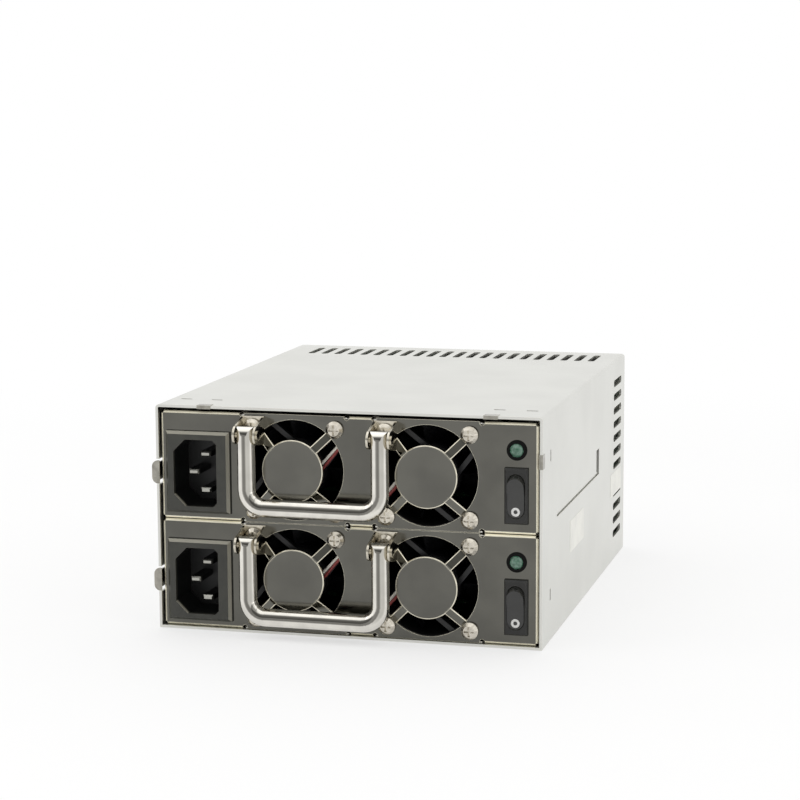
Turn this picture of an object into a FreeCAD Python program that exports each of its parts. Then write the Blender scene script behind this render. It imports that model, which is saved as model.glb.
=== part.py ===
import FreeCAD, Part
import os
import math
from FreeCAD import Vector

os.makedirs("parts", exist_ok=True)

# Redundant server power supply: a sheet steel cage with two hot swap modules, one above the other.
# Millimetres. The origin is the centre of the cage's bottom face, the fronts look along -Y.

# Cage
cage_sheet = 1.0
cage_bend = 1.5
base_flange_height = 6.0
base_flange_start = 14.0
rear_lip = 8.0
rear_room = 20.0
shelf_sheet = 0.6
shelf_setback = 9.5
shelf_tab_proud = 0.5
shelf_hang = 2.9
bay_play = 0.1
top_play = 1.9
side_play = 0.6

# Front layout, from the face's left edge to its right edge
left_margin = 2.3
inlet_width = 25.5
gap_inlet_fan = 5.4
fan_size = 40.0
gap_fans = 11.7
gap_fan_switch = 9.2
bezel_width = 8.8
right_margin = 3.9

# Module sheet metal
module_depth = 140.0
module_sheet = 0.5
face_sheet = 0.8
face_recess = 1.2
face_bend = 1.2
face_gap = 0.2
face_flange = 7.0
relief_radius = 1.0
flange_fan_gap = 0.6
lid_lip = 5.0

# Fans
fan_play = 0.1
fan_depth = 28.0
fan_rim = 1.0
fan_hole_inset = 4.0
fan_hole = 4.4
fan_corner = 3.0
fan_flange = 3.5
guard_margin = 0.2
guard_disc_margin = 0.8
guard_spoke = 3.8
hub_radius = 11.3
hub_wall = 1.0
hub_gap = 0.6
hub_length = 21.0
tip_gap = 0.6
blade_count = 7
blade_span = 46.0
blade_rise = 14.0
blade_thickness = 1.5
shaft_radius = 1.5
bearing_play = 0.05
bearing_wall = 1.5
strut_width = 1.8
strut_depth = 2.4
strut_setback = 1.3
strut_count = 4
lead_angle = 28.0
strut_skew = 26.0
fan_turns = (0.0, 180.0)
lead_radius = 0.55
lead_pitch = 1.5
lead_bend = 1.0
lead_lane_entry = 2.5
lead_clear = 1.5
lead_landing = 3.0

# Screws
fan_screw_head = 6.6
fan_screw_head_height = 2.2
fan_screw_shank = 4.0
fan_screw_length = 10.0
m3_head = 5.6
m3_head_height = 1.8
m3_shank = 2.8
m3_clearance = 3.3
m3_length = 5.5
recess_width = 0.9
recess_depth = 1.1

# Bail handle
rod_diameter = 6.8
rod_stand = 9.0
rod_bend = 7.0
pivot_rise = 14.2
bar_drop = 13.3
ear_sheet = 0.8
ear_gap = 7.2
ear_radius = 3.5
pin_diameter = 2.4
pin_play = 0.05
pin_head = 3.8
pin_head_height = 0.5
bracket_drop = 5.0
bracket_rise = 4.2

# Mains inlet
inlet_z = 18.35
inlet_height = 31.5
inlet_flange = 2.2
inlet_bevel = 1.1
inlet_depth = 20.0
cavity_width = 17.3
cavity_height = 25.8
cavity_depth = 17.0
cavity_shift_x = -0.8
cavity_shift_z = -0.25
cavity_chamfer_left = 4.6
cavity_chamfer_right = 1.6
inlet_wall = 1.5
blade_width = 4.0
blade_height = 2.0
blade_setback = 3.0
blade_tail = 5.0
earth_offset = -1.6
line_offset = 3.2
line_pitch = 7.0

# Status lamp
lamp_shift = 0.1
lamp_lift = 0.39
lamp_rim = 7.6
lamp_rim_height = 0.9
lamp_sleeve = 6.2
lamp_sleeve_depth = 7.0
lens_diameter = 5.2
lens_dome = 1.6
snug = 0.05

# Rocker switch
switch_z = 14.5
bezel_height = 21.0
bezel_proud = 1.6
bezel_bevel = 0.6
switch_width = 7.6
switch_height = 19.4
switch_depth = 13.0
switch_tab = 4.8
switch_tab_length = 6.0
rocker_width = 6.4
rocker_radius = 8.7
rocker_pivot_depth = 3.0
rocker_proud = 0.3
rocker_throw = 16.0
rocker_back = 1.5
rocker_play = 0.2
trunnion_radius = 0.8

# Side latch spring
latch_z = 18.0
latch_sheet = 0.5
latch_height = 9.0
latch_pivot = 46.0
latch_lift = 0.1
latch_tail = 2.5
latch_hook_depth = 20.0
latch_hook_length = 4.0
latch_hook_clear = 0.1
latch_joggle = 15.5
latch_joggle_length = 4.0
latch_tab_proud = 1.5
latch_tab_reach = 3.0
latch_tab_stand = 0.5
latch_notch_depth = 16.5
latch_rivet = 1.0
latch_window_stop = 8.0

# Module boards
board_thickness = 1.6
board_stand = 6.5
board_side_gap = 2.1
board_start = 33.0
edge_width = 61.6
edge_length = 7.0
standoff_radius = 2.5
post_inset = 6.0
post_setback = 7.0
board_part_inset = 5.0
bulk_can = 22.0
part_top_gap = 3.0
bulk_can_gap = 2.0
bulk_can_setback = 34.0
small_can = 8.0
small_can_height = 16.0
small_can_gap = 3.0
small_can_count = 6
small_can_row = 14.0
transformer_width = 33.0
transformer_length = 28.0
transformer_crown = 3.0
transformer_leg = 6.0
transformer_yoke = 5.0
transformer_gap = 1.5
sink_top_gap = 6.0
sink_rear_gap = 11.0
sink_sheet = 2.0
sink_setback = 20.0
sink_gap = 7.0
sink_reach = 8.0
sink_fins = 4

# Rear compartment
socket_gap = 1.0
socket_height = 9.0
socket_wall = 3.0
socket_play = 0.1
backplane_setback = 8.0
backplane_side_gap = 4.0
backplane_edge = 3.0
carrier_sheet = 0.8
carrier_flange = 10.0
spread_side_gap = 8.0
spread_height = 60.0
spread_stand = 12.6
hex_flats = 5.0
rear_sink_width = 66.0
rear_sink_margin = 4.0
rear_sink_rise = 8.0
rear_sink_top_gap = 0.9
rear_sink_base = 2.0
rear_sink_depth = 9.0
fin_thickness = 1.2
rear_sink_fins = 11
spread_can = 10.0
spread_can_height = 12.0
spread_can_gap = 1.5
spread_can_columns = 4
outlet_bore = 24.0
outlet_wall = 2.0
outlet_flange = 3.0
outlet_flange_thickness = 2.0
outlet_catch = 0.8
outlet_catch_depth = 3.0
outlet_from_wall = 36.0
outlet_z = 30.0

# Vents and small openings
slot_width = 3.0
slot_length = 19.5
slot_pitch = 6.0
slot_rear_margin = 8.5
top_slot_left = 12.0
top_slot_right = 8.9
side_slot_top = 9.7
side_slot_bottom = 9.0
rear_vent_edge = 25.8
divider_slot_height = 1.6
divider_start = 28.0
divider_end = 120.5
window_width = 6.0
window_height = 10.0
anchor_width = 1.2
anchor_length = 4.4
anchor_depth = 15.0
anchor_inset = 7.0
anchor_z_lower = 17.7
clip_inset = 19.4
clip_drop = 16.5
clip_width = 5.5
clip_sheet = 0.2
clip_leg = 3.5
foot_hole = 3.3
foot_hole_inset = 15.0
rear_screw_low = 21.5
rear_screw_high = 24.1
rear_screw_top_spacing = 75.0

# Worked out from the sizes above
cage_depth = (face_recess + face_sheet + module_depth + backplane_setback + board_thickness
              + carrier_sheet + spread_stand + rear_room)
front = -cage_depth / 2
rear = cage_depth / 2
face_half = (left_margin + inlet_width + gap_inlet_fan + 2 * fan_size + gap_fans + gap_fan_switch
             + bezel_width + right_margin) / 2
inner_half = face_half + side_play
half_width = inner_half + cage_sheet
module_height = fan_size + fan_play + 2 * module_sheet
lower_z = cage_sheet + bay_play
shelf_z = lower_z + module_height + bay_play
upper_z = shelf_z + shelf_sheet + bay_play
module_pitch = upper_z - lower_z
inner_top = upper_z + module_height + top_play
cage_height = inner_top + cage_sheet
face_height = module_pitch - face_gap
tray_half = face_half - face_sheet
face_y = front + face_recess
tray_y = face_y + face_sheet
tray_rear = tray_y + module_depth
inlet_x = -face_half + left_margin + inlet_width / 2
fan_x_left = inlet_x + inlet_width / 2 + gap_inlet_fan + fan_size / 2
fan_x_right = fan_x_left + fan_size + gap_fans
switch_x = face_half - right_margin - bezel_width / 2
lamp_x = switch_x + lamp_shift
switch_top = switch_z + bezel_height / 2
lamp_z = switch_top + (face_height - switch_top) * lamp_lift
fan_bore = fan_size - 2 * fan_rim
guard_opening = fan_bore + 2 * guard_margin
guard_disc = 2 * (hub_radius + guard_disc_margin)
fan_z = module_sheet + fan_play / 2 + fan_size / 2
fan_centres = (fan_x_left, fan_x_right)
fan_reach = fan_size / 2 + flange_fan_gap
flange_spans = (
    (-face_half, fan_x_left - fan_reach),
    (fan_x_left + fan_reach, fan_x_right - fan_reach),
    (fan_x_right + fan_reach, face_half),
)
screw_offset = fan_size / 2 - fan_hole_inset
handle_legs = (fan_x_left - screw_offset, fan_x_right - screw_offset)
pivot_y = face_y - rod_stand
pivot_z = fan_z + pivot_rise
bar_z = fan_z - bar_drop
board_z = module_sheet + board_stand
board_top = board_z + board_thickness
part_top = module_height - module_sheet - part_top_gap
sink_top = module_height - module_sheet - sink_top_gap
board_half = tray_half - module_sheet - board_side_gap
edge_end = tray_rear + edge_length
backplane_y = tray_rear + backplane_setback
carrier_y = backplane_y + board_thickness
spread_y = carrier_y + carrier_sheet + spread_stand
spread_z = cage_height / 2
spread_half = inner_half - spread_side_gap
rear_sink_x = spread_half - rear_sink_margin - rear_sink_width / 2
outlet_x = -inner_half + outlet_from_wall
anchor_x = half_width - anchor_inset
clip_x = half_width - clip_inset
clip_z = cage_height - clip_drop
foot_hole_x = half_width - foot_hole_inset
top_slots = int((2 * half_width - top_slot_left - top_slot_right - slot_width) / slot_pitch) + 1
side_slots = int((cage_height - side_slot_top - side_slot_bottom) / slot_pitch) + 1
tiny = 0.01


def box(x0, x1, y0, y1, z0, z1):
    return Part.makeBox(x1 - x0, y1 - y0, z1 - z0, Vector(x0, y0, z0))


def rod_x(radius, x0, x1, y, z):
    return Part.makeCylinder(radius, x1 - x0, Vector(x0, y, z), Vector(1, 0, 0))


def rod_y(radius, x, y0, y1, z):
    return Part.makeCylinder(radius, y1 - y0, Vector(x, y0, z), Vector(0, 1, 0))


def rod_z(radius, x, y, z0, z1):
    return Part.makeCylinder(radius, z1 - z0, Vector(x, y, z0), Vector(0, 0, 1))


def fuse_all(shapes):
    first, rest = shapes[0], shapes[1:]
    return first.fuse(rest).removeSplitter() if rest else first


def polygon_prism(points, direction):
    wire = Part.makePolygon([Vector(*p) for p in points] + [Vector(*points[0])])
    return Part.Face(wire).extrude(direction)


def slot_prism(centre, length, width, along, through):
    """A slot with round ends, cut through a sheet: along is its length, through runs past both faces."""
    r = width / 2
    run = along * (length / 2 - r)
    side = along.cross(Vector(through).normalize()) * r
    tip = along * (length / 2)
    base = centre - through / 2
    a, b, c, d = base - run + side, base + run + side, base + run - side, base - run - side
    edges = [
        Part.LineSegment(a, b).toShape(),
        Part.Arc(b, base + tip, c).toShape(),
        Part.LineSegment(c, d).toShape(),
        Part.Arc(d, base - tip, a).toShape(),
    ]
    return Part.Face(Part.Wire(edges)).extrude(through)


def pan_screw(centre, head, head_height, shank, length, outward):
    """A pan head screw seated at centre, with its head towards outward and its shank the other way."""
    r = head / 2
    crown = head_height * 0.5
    flat = r * 0.66
    profile = [
        Part.LineSegment(Vector(0, 0, -length), Vector(shank / 2, 0, -length)).toShape(),
        Part.LineSegment(Vector(shank / 2, 0, -length), Vector(shank / 2, 0, 0)).toShape(),
        Part.LineSegment(Vector(shank / 2, 0, 0), Vector(r, 0, 0)).toShape(),
        Part.LineSegment(Vector(r, 0, 0), Vector(r, 0, crown)).toShape(),
        Part.LineSegment(Vector(r, 0, crown), Vector(flat, 0, head_height)).toShape(),
        Part.LineSegment(Vector(flat, 0, head_height), Vector(0, 0, head_height)).toShape(),
        Part.LineSegment(Vector(0, 0, head_height), Vector(0, 0, -length)).toShape(),
    ]
    body = Part.Face(Part.Wire(profile)).revolve(Vector(0, 0, 0), Vector(0, 0, 1), 360)
    arm = head * 0.3
    w = recess_width / 2
    for cross in (box(-arm, arm, -w, w, 0, r), box(-w, w, -arm, arm, 0, r)):
        body = body.cut(cross.translated(Vector(0, 0, head_height - recess_depth)))
    turn = FreeCAD.Rotation(Vector(0, 0, 1), outward)
    body.Placement = FreeCAD.Placement(centre, turn)
    return body


def y_at(depth):
    """The place along Y of a depth measured from the cage's front edge."""
    return front + depth


def cage_cover():
    """Top and both side walls in one bent sheet, with lips turned in at the rear."""
    outer = box(-half_width, half_width, front, rear - cage_sheet, 0, cage_height)
    corners = [e for e in outer.Edges if is_long_y(e) and e.BoundBox.ZMin > cage_height / 2]
    outer = outer.makeFillet(cage_bend, corners)
    inner = box(-inner_half, inner_half, front - 1, rear + 1, -1, inner_top)
    corners = [e for e in inner.Edges if is_long_y(e) and e.BoundBox.ZMin > cage_height / 2]
    inner = inner.makeFillet(cage_bend - cage_sheet, corners)
    body = outer.cut(inner)
    lip_y = rear - 2 * cage_sheet
    lip_z = cage_sheet + rear_lip + 0.4
    lip = box(-half_width + tiny, half_width - tiny, lip_y, lip_y + cage_sheet, lip_z, cage_height - tiny)
    lip = lip.common(inner)
    hole = box(-inner_half + rear_lip, inner_half - rear_lip, lip_y - 1, rear, 0, inner_top - rear_lip)
    body = body.fuse(lip.cut(hole))
    return body.cut(Part.makeCompound(cover_cuts())).removeSplitter()


def is_long_y(edge):
    return edge.BoundBox.YLength > edge.BoundBox.XLength + edge.BoundBox.ZLength


def cover_cuts():
    cuts = []
    vent_y = rear - slot_rear_margin - slot_length / 2
    through_z = Vector(0, 0, 4 * cage_sheet)
    through_x = Vector(4 * cage_sheet, 0, 0)
    for i in range(top_slots):
        x = half_width - top_slot_right - slot_width / 2 - i * slot_pitch
        centre = Vector(x, vent_y, inner_top + cage_sheet / 2)
        cuts.append(slot_prism(centre, slot_length, slot_width, Vector(0, 1, 0), through_z))
    for side in (-1, 1):
        wall_x = side * (half_width - cage_sheet / 2)
        for i in range(side_slots):
            centre = Vector(wall_x, vent_y, cage_height - side_slot_top - i * slot_pitch)
            cuts.append(slot_prism(centre, slot_length, slot_width, Vector(0, 1, 0), through_x))
        for x in (side * anchor_x, side * clip_x):
            cuts.append(
                box(x - anchor_length / 2, x + anchor_length / 2, y_at(anchor_depth),
                    y_at(anchor_depth) + anchor_width, inner_top - 1, cage_height + 1)
            )
        slot_z = hang_z()
        cuts.append(
            box(wall_x - 2, wall_x + 2, y_at(divider_start), y_at(divider_end),
                slot_z - divider_slot_height / 2, slot_z + divider_slot_height / 2)
        )
        cuts.append(
            box(wall_x - 2, wall_x + 2, y_at(divider_end - window_width), y_at(divider_end),
                slot_z, slot_z + window_height)
        )
    for z in (clip_z, anchor_z_lower):
        cuts.append(
            box(inner_half - 1, half_width + 1, y_at(anchor_depth), y_at(anchor_depth) + anchor_width,
                z - anchor_length / 2, z + anchor_length / 2)
        )
    wall_x = -half_width + cage_sheet / 2
    notch = latch_height / 2 + 0.4
    hook = latch_hook_length / 2 + 0.5
    for base in (lower_z, upper_z):
        z = base + latch_z
        cuts.append(box(wall_x - 2, wall_x + 2, front - 1, y_at(latch_notch_depth), z - notch, z + notch))
        cuts.append(
            box(wall_x - 2, wall_x + 2, y_at(latch_hook_depth) - 0.3, y_at(latch_hook_depth) + 2 * hook,
                z - notch + 1, z + notch - 1)
        )
    for x, z in rear_screw_places():
        cuts.append(rod_y(m3_shank / 2 + snug, x, rear - 3 * cage_sheet, rear, z))
    return cuts


def rear_screw_places():
    side = inner_half - rear_lip / 2
    top = inner_top - rear_lip / 2
    rows = (rear_screw_low, cage_height - rear_screw_high)
    return [(s * side, z) for s in (-1, 1) for z in rows] + [
        (s * rear_screw_top_spacing / 2, top) for s in (-1, 1)
    ]


def cage_base():
    """Bottom sheet between the walls, with flanges up along the sides and the rear."""
    body = box(-inner_half, inner_half, front, rear - cage_sheet, 0, cage_sheet)
    top = cage_sheet + base_flange_height
    parts = []
    for side in (-1, 1):
        x0, x1 = sorted((side * inner_half, side * (inner_half - cage_sheet)))
        parts.append(box(x0, x1, y_at(base_flange_start), rear - 2 * cage_sheet, 0, top))
    lip = inner_half - 2 * cage_sheet
    parts.append(box(-lip, lip, rear - 2 * cage_sheet, rear - cage_sheet, 0, cage_sheet + rear_lip))
    body = body.fuse(parts).removeSplitter()
    for side in (-1, 1):
        hole = rod_z(foot_hole / 2, side * foot_hole_x, foot_hole_y(), -1, cage_sheet + 1)
        body = body.cut(hole)
    return body


def foot_hole_y():
    return rear - slot_rear_margin - slot_length / 2


def hang_z():
    """The height of the slots that the shelf hangs in."""
    return shelf_z + shelf_sheet / 2 + shelf_hang


def mid_shelf():
    """The floor of the upper bay, with a rail on each side that hangs in a slot of the wall."""
    plate = box(-inner_half, inner_half, y_at(shelf_setback), backplane_y - socket_gap, shelf_z, shelf_z + shelf_sheet)
    socket_span = edge_width / 2 + 2 * socket_wall
    notch = box(-socket_span, socket_span, tray_rear, backplane_y, shelf_z - 1, shelf_z + 2)
    shapes = [plate.cut(notch)]
    y0 = y_at(divider_start) + 1
    y1 = y_at(divider_end) - 1
    low = shelf_z + shelf_sheet
    tab_low = hang_z() - shelf_sheet / 2
    tab_high = hang_z() + shelf_sheet / 2
    reach = inner_half + shelf_tab_proud
    for side in (-1, 1):
        wall = sorted((side * (inner_half - shelf_sheet), side * inner_half))
        tab = sorted((side * (inner_half - shelf_sheet), side * reach))
        rail = box(wall[0], wall[1], y0, y1, low, tab_high)
        shapes.append(rail.fuse(box(tab[0], tab[1], y0, y1, tab_low, tab_high)).removeSplitter())
    return Part.makeCompound(shapes)


def rear_panel():
    """Flat rear sheet with the cable outlet and two rows of vents."""
    body = box(-half_width, half_width, rear - cage_sheet, rear, 0, cage_height)
    body = body.makeFillet(cage_bend, [e for e in body.Edges if is_long_y(e) and e.BoundBox.ZMin > spread_z])
    cuts = [rod_y(outlet_radius() + snug, outlet_x, rear - 3, rear + 1, outlet_z)]
    for x, z in rear_screw_places():
        cuts.append(rod_y(m3_clearance / 2, x, rear - 3, rear + 1, z))
    through = Vector(0, 4 * cage_sheet, 0)
    columns = int(rear_sink_width / slot_pitch)
    for z in (rear_vent_edge, cage_height - rear_vent_edge):
        for i in range(columns):
            x = rear_sink_x + (i - (columns - 1) / 2) * slot_pitch
            centre = Vector(x, rear - cage_sheet / 2, z)
            cuts.append(slot_prism(centre, slot_length, slot_width, Vector(0, 0, 1), through))
    return body.cut(Part.makeCompound(cuts))


def outlet_radius():
    return outlet_bore / 2 + outlet_wall


def cable_outlet_bushing():
    """Snap bushing: sleeve through the rear sheet, flange outside and a catch ring inside."""
    r0 = outlet_bore / 2
    r1 = outlet_radius()
    y0 = rear - cage_sheet - outlet_catch_depth
    y1 = rear + outlet_flange_thickness
    body = rod_y(r1, outlet_x, y0, y1, outlet_z)
    body = body.fuse(rod_y(r1 + outlet_flange, outlet_x, rear, y1, outlet_z))
    catch = Part.makeCone(r1, r1 + outlet_catch, outlet_catch_depth - cage_sheet / 2,
                          Vector(outlet_x, y0, outlet_z), Vector(0, 1, 0))
    body = body.fuse(catch).removeSplitter()
    rim = [e for e in body.Edges
           if abs(e.BoundBox.YMin - y1) < tiny and e.BoundBox.XLength > 2 * r1 + outlet_flange]
    body = body.makeChamfer(outlet_flange_thickness * 0.4, rim)
    return body.cut(rod_y(r0, outlet_x, y0 - 1, y1 + 1, outlet_z))


def cage_screws():
    screws = []
    for x, z in rear_screw_places():
        screws.append(pan_screw(Vector(x, rear, z), m3_head, m3_head_height, m3_shank, m3_length,
                                Vector(0, 1, 0)))
    for x, z in standoff_places():
        screws.append(pan_screw(Vector(x, backplane_y, z), m3_head, m3_head_height, m3_shank, m3_length,
                                Vector(0, -1, 0)))
        screws.append(pan_screw(Vector(x, spread_y + board_thickness, z), m3_head, m3_head_height,
                                m3_shank, m3_length, Vector(0, 1, 0)))
    return Part.makeCompound(screws)


def standoff_places():
    dx = spread_half - hex_flats
    dz = spread_height / 2 - hex_flats
    return [(s * dx, spread_z + t * dz) for s in (-1, 1) for t in (-1, 1)]


def board_standoffs():
    """Hexagonal spacers between the backplane's carrier and the distribution board."""
    posts = []
    r = hex_flats / math.sqrt(3)
    y0 = carrier_y + carrier_sheet
    for x, z in standoff_places():
        ring = [(x + r * math.cos(math.radians(60 * k)), y0, z + r * math.sin(math.radians(60 * k)))
                for k in range(6)]
        post = polygon_prism(ring, Vector(0, spread_stand, 0))
        posts.append(post.cut(rod_y(m3_shank / 2 + snug, x, y0 - 1, y0 + spread_stand + 1, z)))
    return Part.makeCompound(posts)


def screw_holes(y0, y1, radius):
    return [rod_y(radius, x, y0, y1, z) for x, z in standoff_places()]


def backplane_board():
    w = inner_half - backplane_side_gap
    body = box(-w, w, backplane_y, carrier_y, cage_sheet + backplane_edge, inner_top - backplane_edge)
    return body.cut(screw_holes(backplane_y - 1, carrier_y + 1, m3_clearance / 2))


def backplane_carrier():
    """Sheet frame behind the backplane, its side flanges welded to the walls."""
    z0 = cage_sheet + base_flange_height + 1
    z1 = inner_top - 1
    y1 = carrier_y + carrier_sheet
    body = box(-inner_half, inner_half, carrier_y, y1, z0, z1)
    parts = []
    for side in (-1, 1):
        x0, x1 = sorted((side * inner_half, side * (inner_half - carrier_sheet)))
        parts.append(box(x0, x1, carrier_y, y1 + carrier_flange, z0, z1))
    body = body.fuse(parts).removeSplitter()
    w = spread_half - 3 * hex_flats
    cuts = screw_holes(carrier_y - 1, y1 + 1, m3_clearance / 2)
    middle = (z0 + z1) / 2
    cuts.append(box(-w, w, carrier_y - 1, y1 + 1, z0 + 5, middle - 3))
    cuts.append(box(-w, w, carrier_y - 1, y1 + 1, middle + 3, z1 - 5))
    return body.cut(cuts)


def backplane_sockets():
    """One card edge socket for each module."""
    sockets = []
    w = edge_width / 2 + socket_wall
    for base in (lower_z, upper_z):
        z = base + board_z + board_thickness / 2
        h = socket_height / 2
        y0 = tray_rear + socket_gap
        body = box(-w, w, y0, backplane_y, z - h, z + h)
        body = body.makeChamfer(0.8, [e for e in body.Edges if abs(e.BoundBox.YMax - y0) < tiny])
        mouth = edge_width / 2 + socket_play
        gap = board_thickness / 2 + socket_play
        slot = box(-mouth, mouth, y0 - 1, edge_end + 0.4, z - gap, z + gap)
        sockets.append(body.cut(slot))
    return Part.makeCompound(sockets)


def distribution_board():
    w, h = spread_half, spread_height / 2
    body = box(-w, w, spread_y, spread_y + board_thickness, spread_z - h, spread_z + h)
    return body.cut(screw_holes(spread_y - 1, spread_y + board_thickness + 1, m3_clearance / 2))


def distribution_heatsink():
    """Comb of fins on the distribution board, seen through the top vents."""
    y0 = spread_y + board_thickness
    z0 = spread_z + rear_sink_rise
    z1 = inner_top - rear_sink_top_gap
    w = rear_sink_width / 2
    plates = [box(rear_sink_x - w, rear_sink_x + w, y0, y0 + rear_sink_base, z0, z1)]
    for i in range(rear_sink_fins):
        x = rear_sink_x - w + i * (rear_sink_width - fin_thickness) / (rear_sink_fins - 1)
        plates.append(box(x, x + fin_thickness, y0, y0 + rear_sink_depth, z0, z1))
    hole_x, hole_z = standoff_places()[-1]
    keep_out = box(hole_x - m3_head, hole_x + hex_flats + 1, y0 - 1, y0 + rear_sink_depth + 1,
                   spread_z, hole_z + m3_head)
    return fuse_all(plates).cut(keep_out)


def distribution_capacitors():
    cans = []
    y0 = spread_y + board_thickness
    r = spread_can / 2
    pitch = spread_can + spread_can_gap
    x0 = -spread_half + 2 * hex_flats
    for i in range(spread_can_columns):
        for row in (-0.5, 0.5):
            cans.append(rod_y(r, x0 + r + i * pitch, y0, y0 + spread_can_height, spread_z + row * pitch))
    return Part.makeCompound(cans)


def grounding_clips():
    """Spring clips pushed over the cage's front edge, their inner legs caught in the small slots."""
    t = clip_sheet
    y0 = front - t
    y1 = y_at(anchor_depth)
    clips = []
    for side in (-1, 1):
        x0 = side * clip_x - clip_width / 2
        x1 = x0 + clip_width
        clip = fuse_all([
            box(x0, x1, y0, front + clip_leg, cage_height, cage_height + t),
            box(x0, x1, y0, front, inner_top - t, cage_height + t),
            box(x0, x1, y0, y1 + anchor_width / 2, inner_top - t, inner_top),
            box(x0 + 1, x1 - 1, y1 + 0.1, y1 + anchor_width / 2, inner_top - t, inner_top + cage_sheet / 2),
        ])
        clips.append(clip)
    z0, z1 = clip_z - clip_width / 2, clip_z + clip_width / 2
    x = half_width
    clips.append(fuse_all([
        box(x, x + t, y0, front + clip_leg, z0, z1),
        box(inner_half - t, x + t, y0, front, z0, z1),
        box(inner_half - t, inner_half, y0, y1 + anchor_width / 2, z0, z1),
        box(inner_half - t, inner_half + cage_sheet / 2, y1 + 0.1, y1 + anchor_width / 2, z0 + 1, z1 - 1),
    ]))
    return Part.makeCompound(clips)


def faceplate():
    """Folded front of a module: side flanges all along, top and bottom flanges between the fans."""
    y1 = face_y + face_flange
    outer = box(-face_half, face_half, face_y, y1, 0, face_height)
    inner = box(-face_half + face_sheet, face_half - face_sheet, face_y + face_sheet, y1 + 1,
                face_sheet, face_height - face_sheet)
    outer = outer.makeFillet(face_bend, [e for e in outer.Edges if e.BoundBox.YMax < face_y + tiny])
    body = outer.cut(inner)
    trims = []
    for centre in fan_centres:
        zone = (centre - fan_reach, centre + fan_reach)
        trims.append(box(zone[0], zone[1], face_y - 1, y1 + 1, -1, face_bend + 0.1))
        trims.append(box(zone[0], zone[1], face_y - 1, y1 + 1, face_height - face_bend - 0.1,
                         face_height + 1))
    body = body.cut(trims)
    for centre in fan_centres:
        body = body.fuse(box(centre - fan_reach, centre + fan_reach, face_y, tray_y, 0, face_height))
    body = body.removeSplitter()
    return body.cut(Part.makeCompound(face_cuts())).removeSplitter()


def face_cuts():
    y0, y1 = face_y - 1, face_y + face_flange + 1
    cuts = []
    ends = [end for span in flange_spans for end in span]
    for x in ends[1:-1]:
        for z in (0.5, face_height - 0.5):
            cuts.append(rod_y(relief_radius, x, y0, y1, z))
    corner = face_half - face_sheet / 2
    for x in (-corner, corner):
        for z in (face_sheet / 2, face_height - face_sheet / 2):
            cuts.append(rod_y(face_sheet, x, y0, y1, z))
    for centre in fan_centres:
        cuts.extend(guard_openings(centre))
        for sx in (-1, 1):
            for sz in (-1, 1):
                cuts.append(rod_y(fan_hole / 2, centre + sx * screw_offset, y0, tray_y + 1,
                                  fan_z + sz * screw_offset))
    cuts.append(inlet_outline(inlet_wall + snug, y0, tray_y + 1))
    cuts.append(rod_y(lamp_sleeve / 2 + snug, lamp_x, y0, tray_y + 1, lamp_z))
    w, h = switch_width / 2 + snug, switch_height / 2 + snug
    cuts.append(box(switch_x - w, switch_x + w, y0, tray_y + 1, switch_z - h, switch_z + h))
    return cuts


def guard_openings(x):
    """Four ring segments between the spokes of a punched fan guard."""
    y0, y1 = face_y - 1, tray_y + 1
    ring = rod_y(guard_opening / 2, x, y0, y1, fan_z).cut(rod_y(guard_disc / 2, x, y0, y1, fan_z))
    for angle in (45, -45):
        bar = box(-fan_size, fan_size, y0, y1, -guard_spoke / 2, guard_spoke / 2)
        bar.rotate(Vector(0, 0, 0), Vector(0, 1, 0), angle)
        bar.translate(Vector(x, 0, fan_z))
        ring = ring.cut(bar)
    return ring.Solids


def tray():
    """Open-topped body of a module: floor, two walls and the rear wall."""
    top = module_height - module_sheet
    body = box(-tray_half, tray_half, tray_y, tray_rear, 0, top)
    s = module_sheet
    body = body.cut(box(-tray_half + s, tray_half - s, tray_y - 1, tray_rear - s, s, top + 1))
    posts = []
    for x, y in board_post_places():
        posts.append(rod_z(standoff_radius, x, y, s - tiny, board_z))
    rivet_x = -tray_half - latch_lift - latch_sheet
    y = y_at(latch_pivot)
    posts.append(rod_x(latch_rivet, rivet_x - 0.1, -tray_half + tiny, y, latch_z))
    posts.append(rod_x(2 * latch_rivet, rivet_x - 0.5, rivet_x - 0.1, y, latch_z))
    body = body.fuse(posts).removeSplitter()
    cuts = flange_clearances()
    hook = latch_height / 2 + 0.6
    cuts.append(box(-tray_half - 1, -tray_half + 1, tray_y - 1, y_at(latch_pivot) - latch_window_stop,
                    latch_z - hook, latch_z + hook))
    mouth = edge_width / 2 + 1
    cuts.append(box(-mouth, mouth, tray_rear - 1, tray_rear + 1, board_z - 1, board_top + 1))
    w = slot_width / 2
    slots = int(2 * (tray_half - top_slot_left) / slot_pitch)
    for i in range(slots):
        x = (i - (slots - 1) / 2) * slot_pitch
        cuts.append(box(x - w, x + w, tray_rear - 1, tray_rear + 1, board_top + lid_lip, top - lid_lip))
    return body.cut(Part.makeCompound(cuts))


def board_post_places():
    dx = board_half - post_inset
    rows = (y_at(board_start) + post_setback, tray_rear - post_setback)
    return [(s * dx, y) for s in (-1, 1) for y in rows]


def flange_clearances():
    """Floor, wall and lid stop short of the faceplate's turned flanges."""
    y1 = face_y + face_flange + 0.2
    cuts = []
    for x0, x1 in flange_spans:
        cuts.append(box(x0 - 0.1, x1 + 0.1, tray_y - 1, y1, -1, face_sheet + 0.1))
        cuts.append(box(x0 - 0.1, x1 + 0.1, tray_y - 1, y1, face_height - face_sheet - 0.1,
                        module_height + 1))
    return cuts


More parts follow.
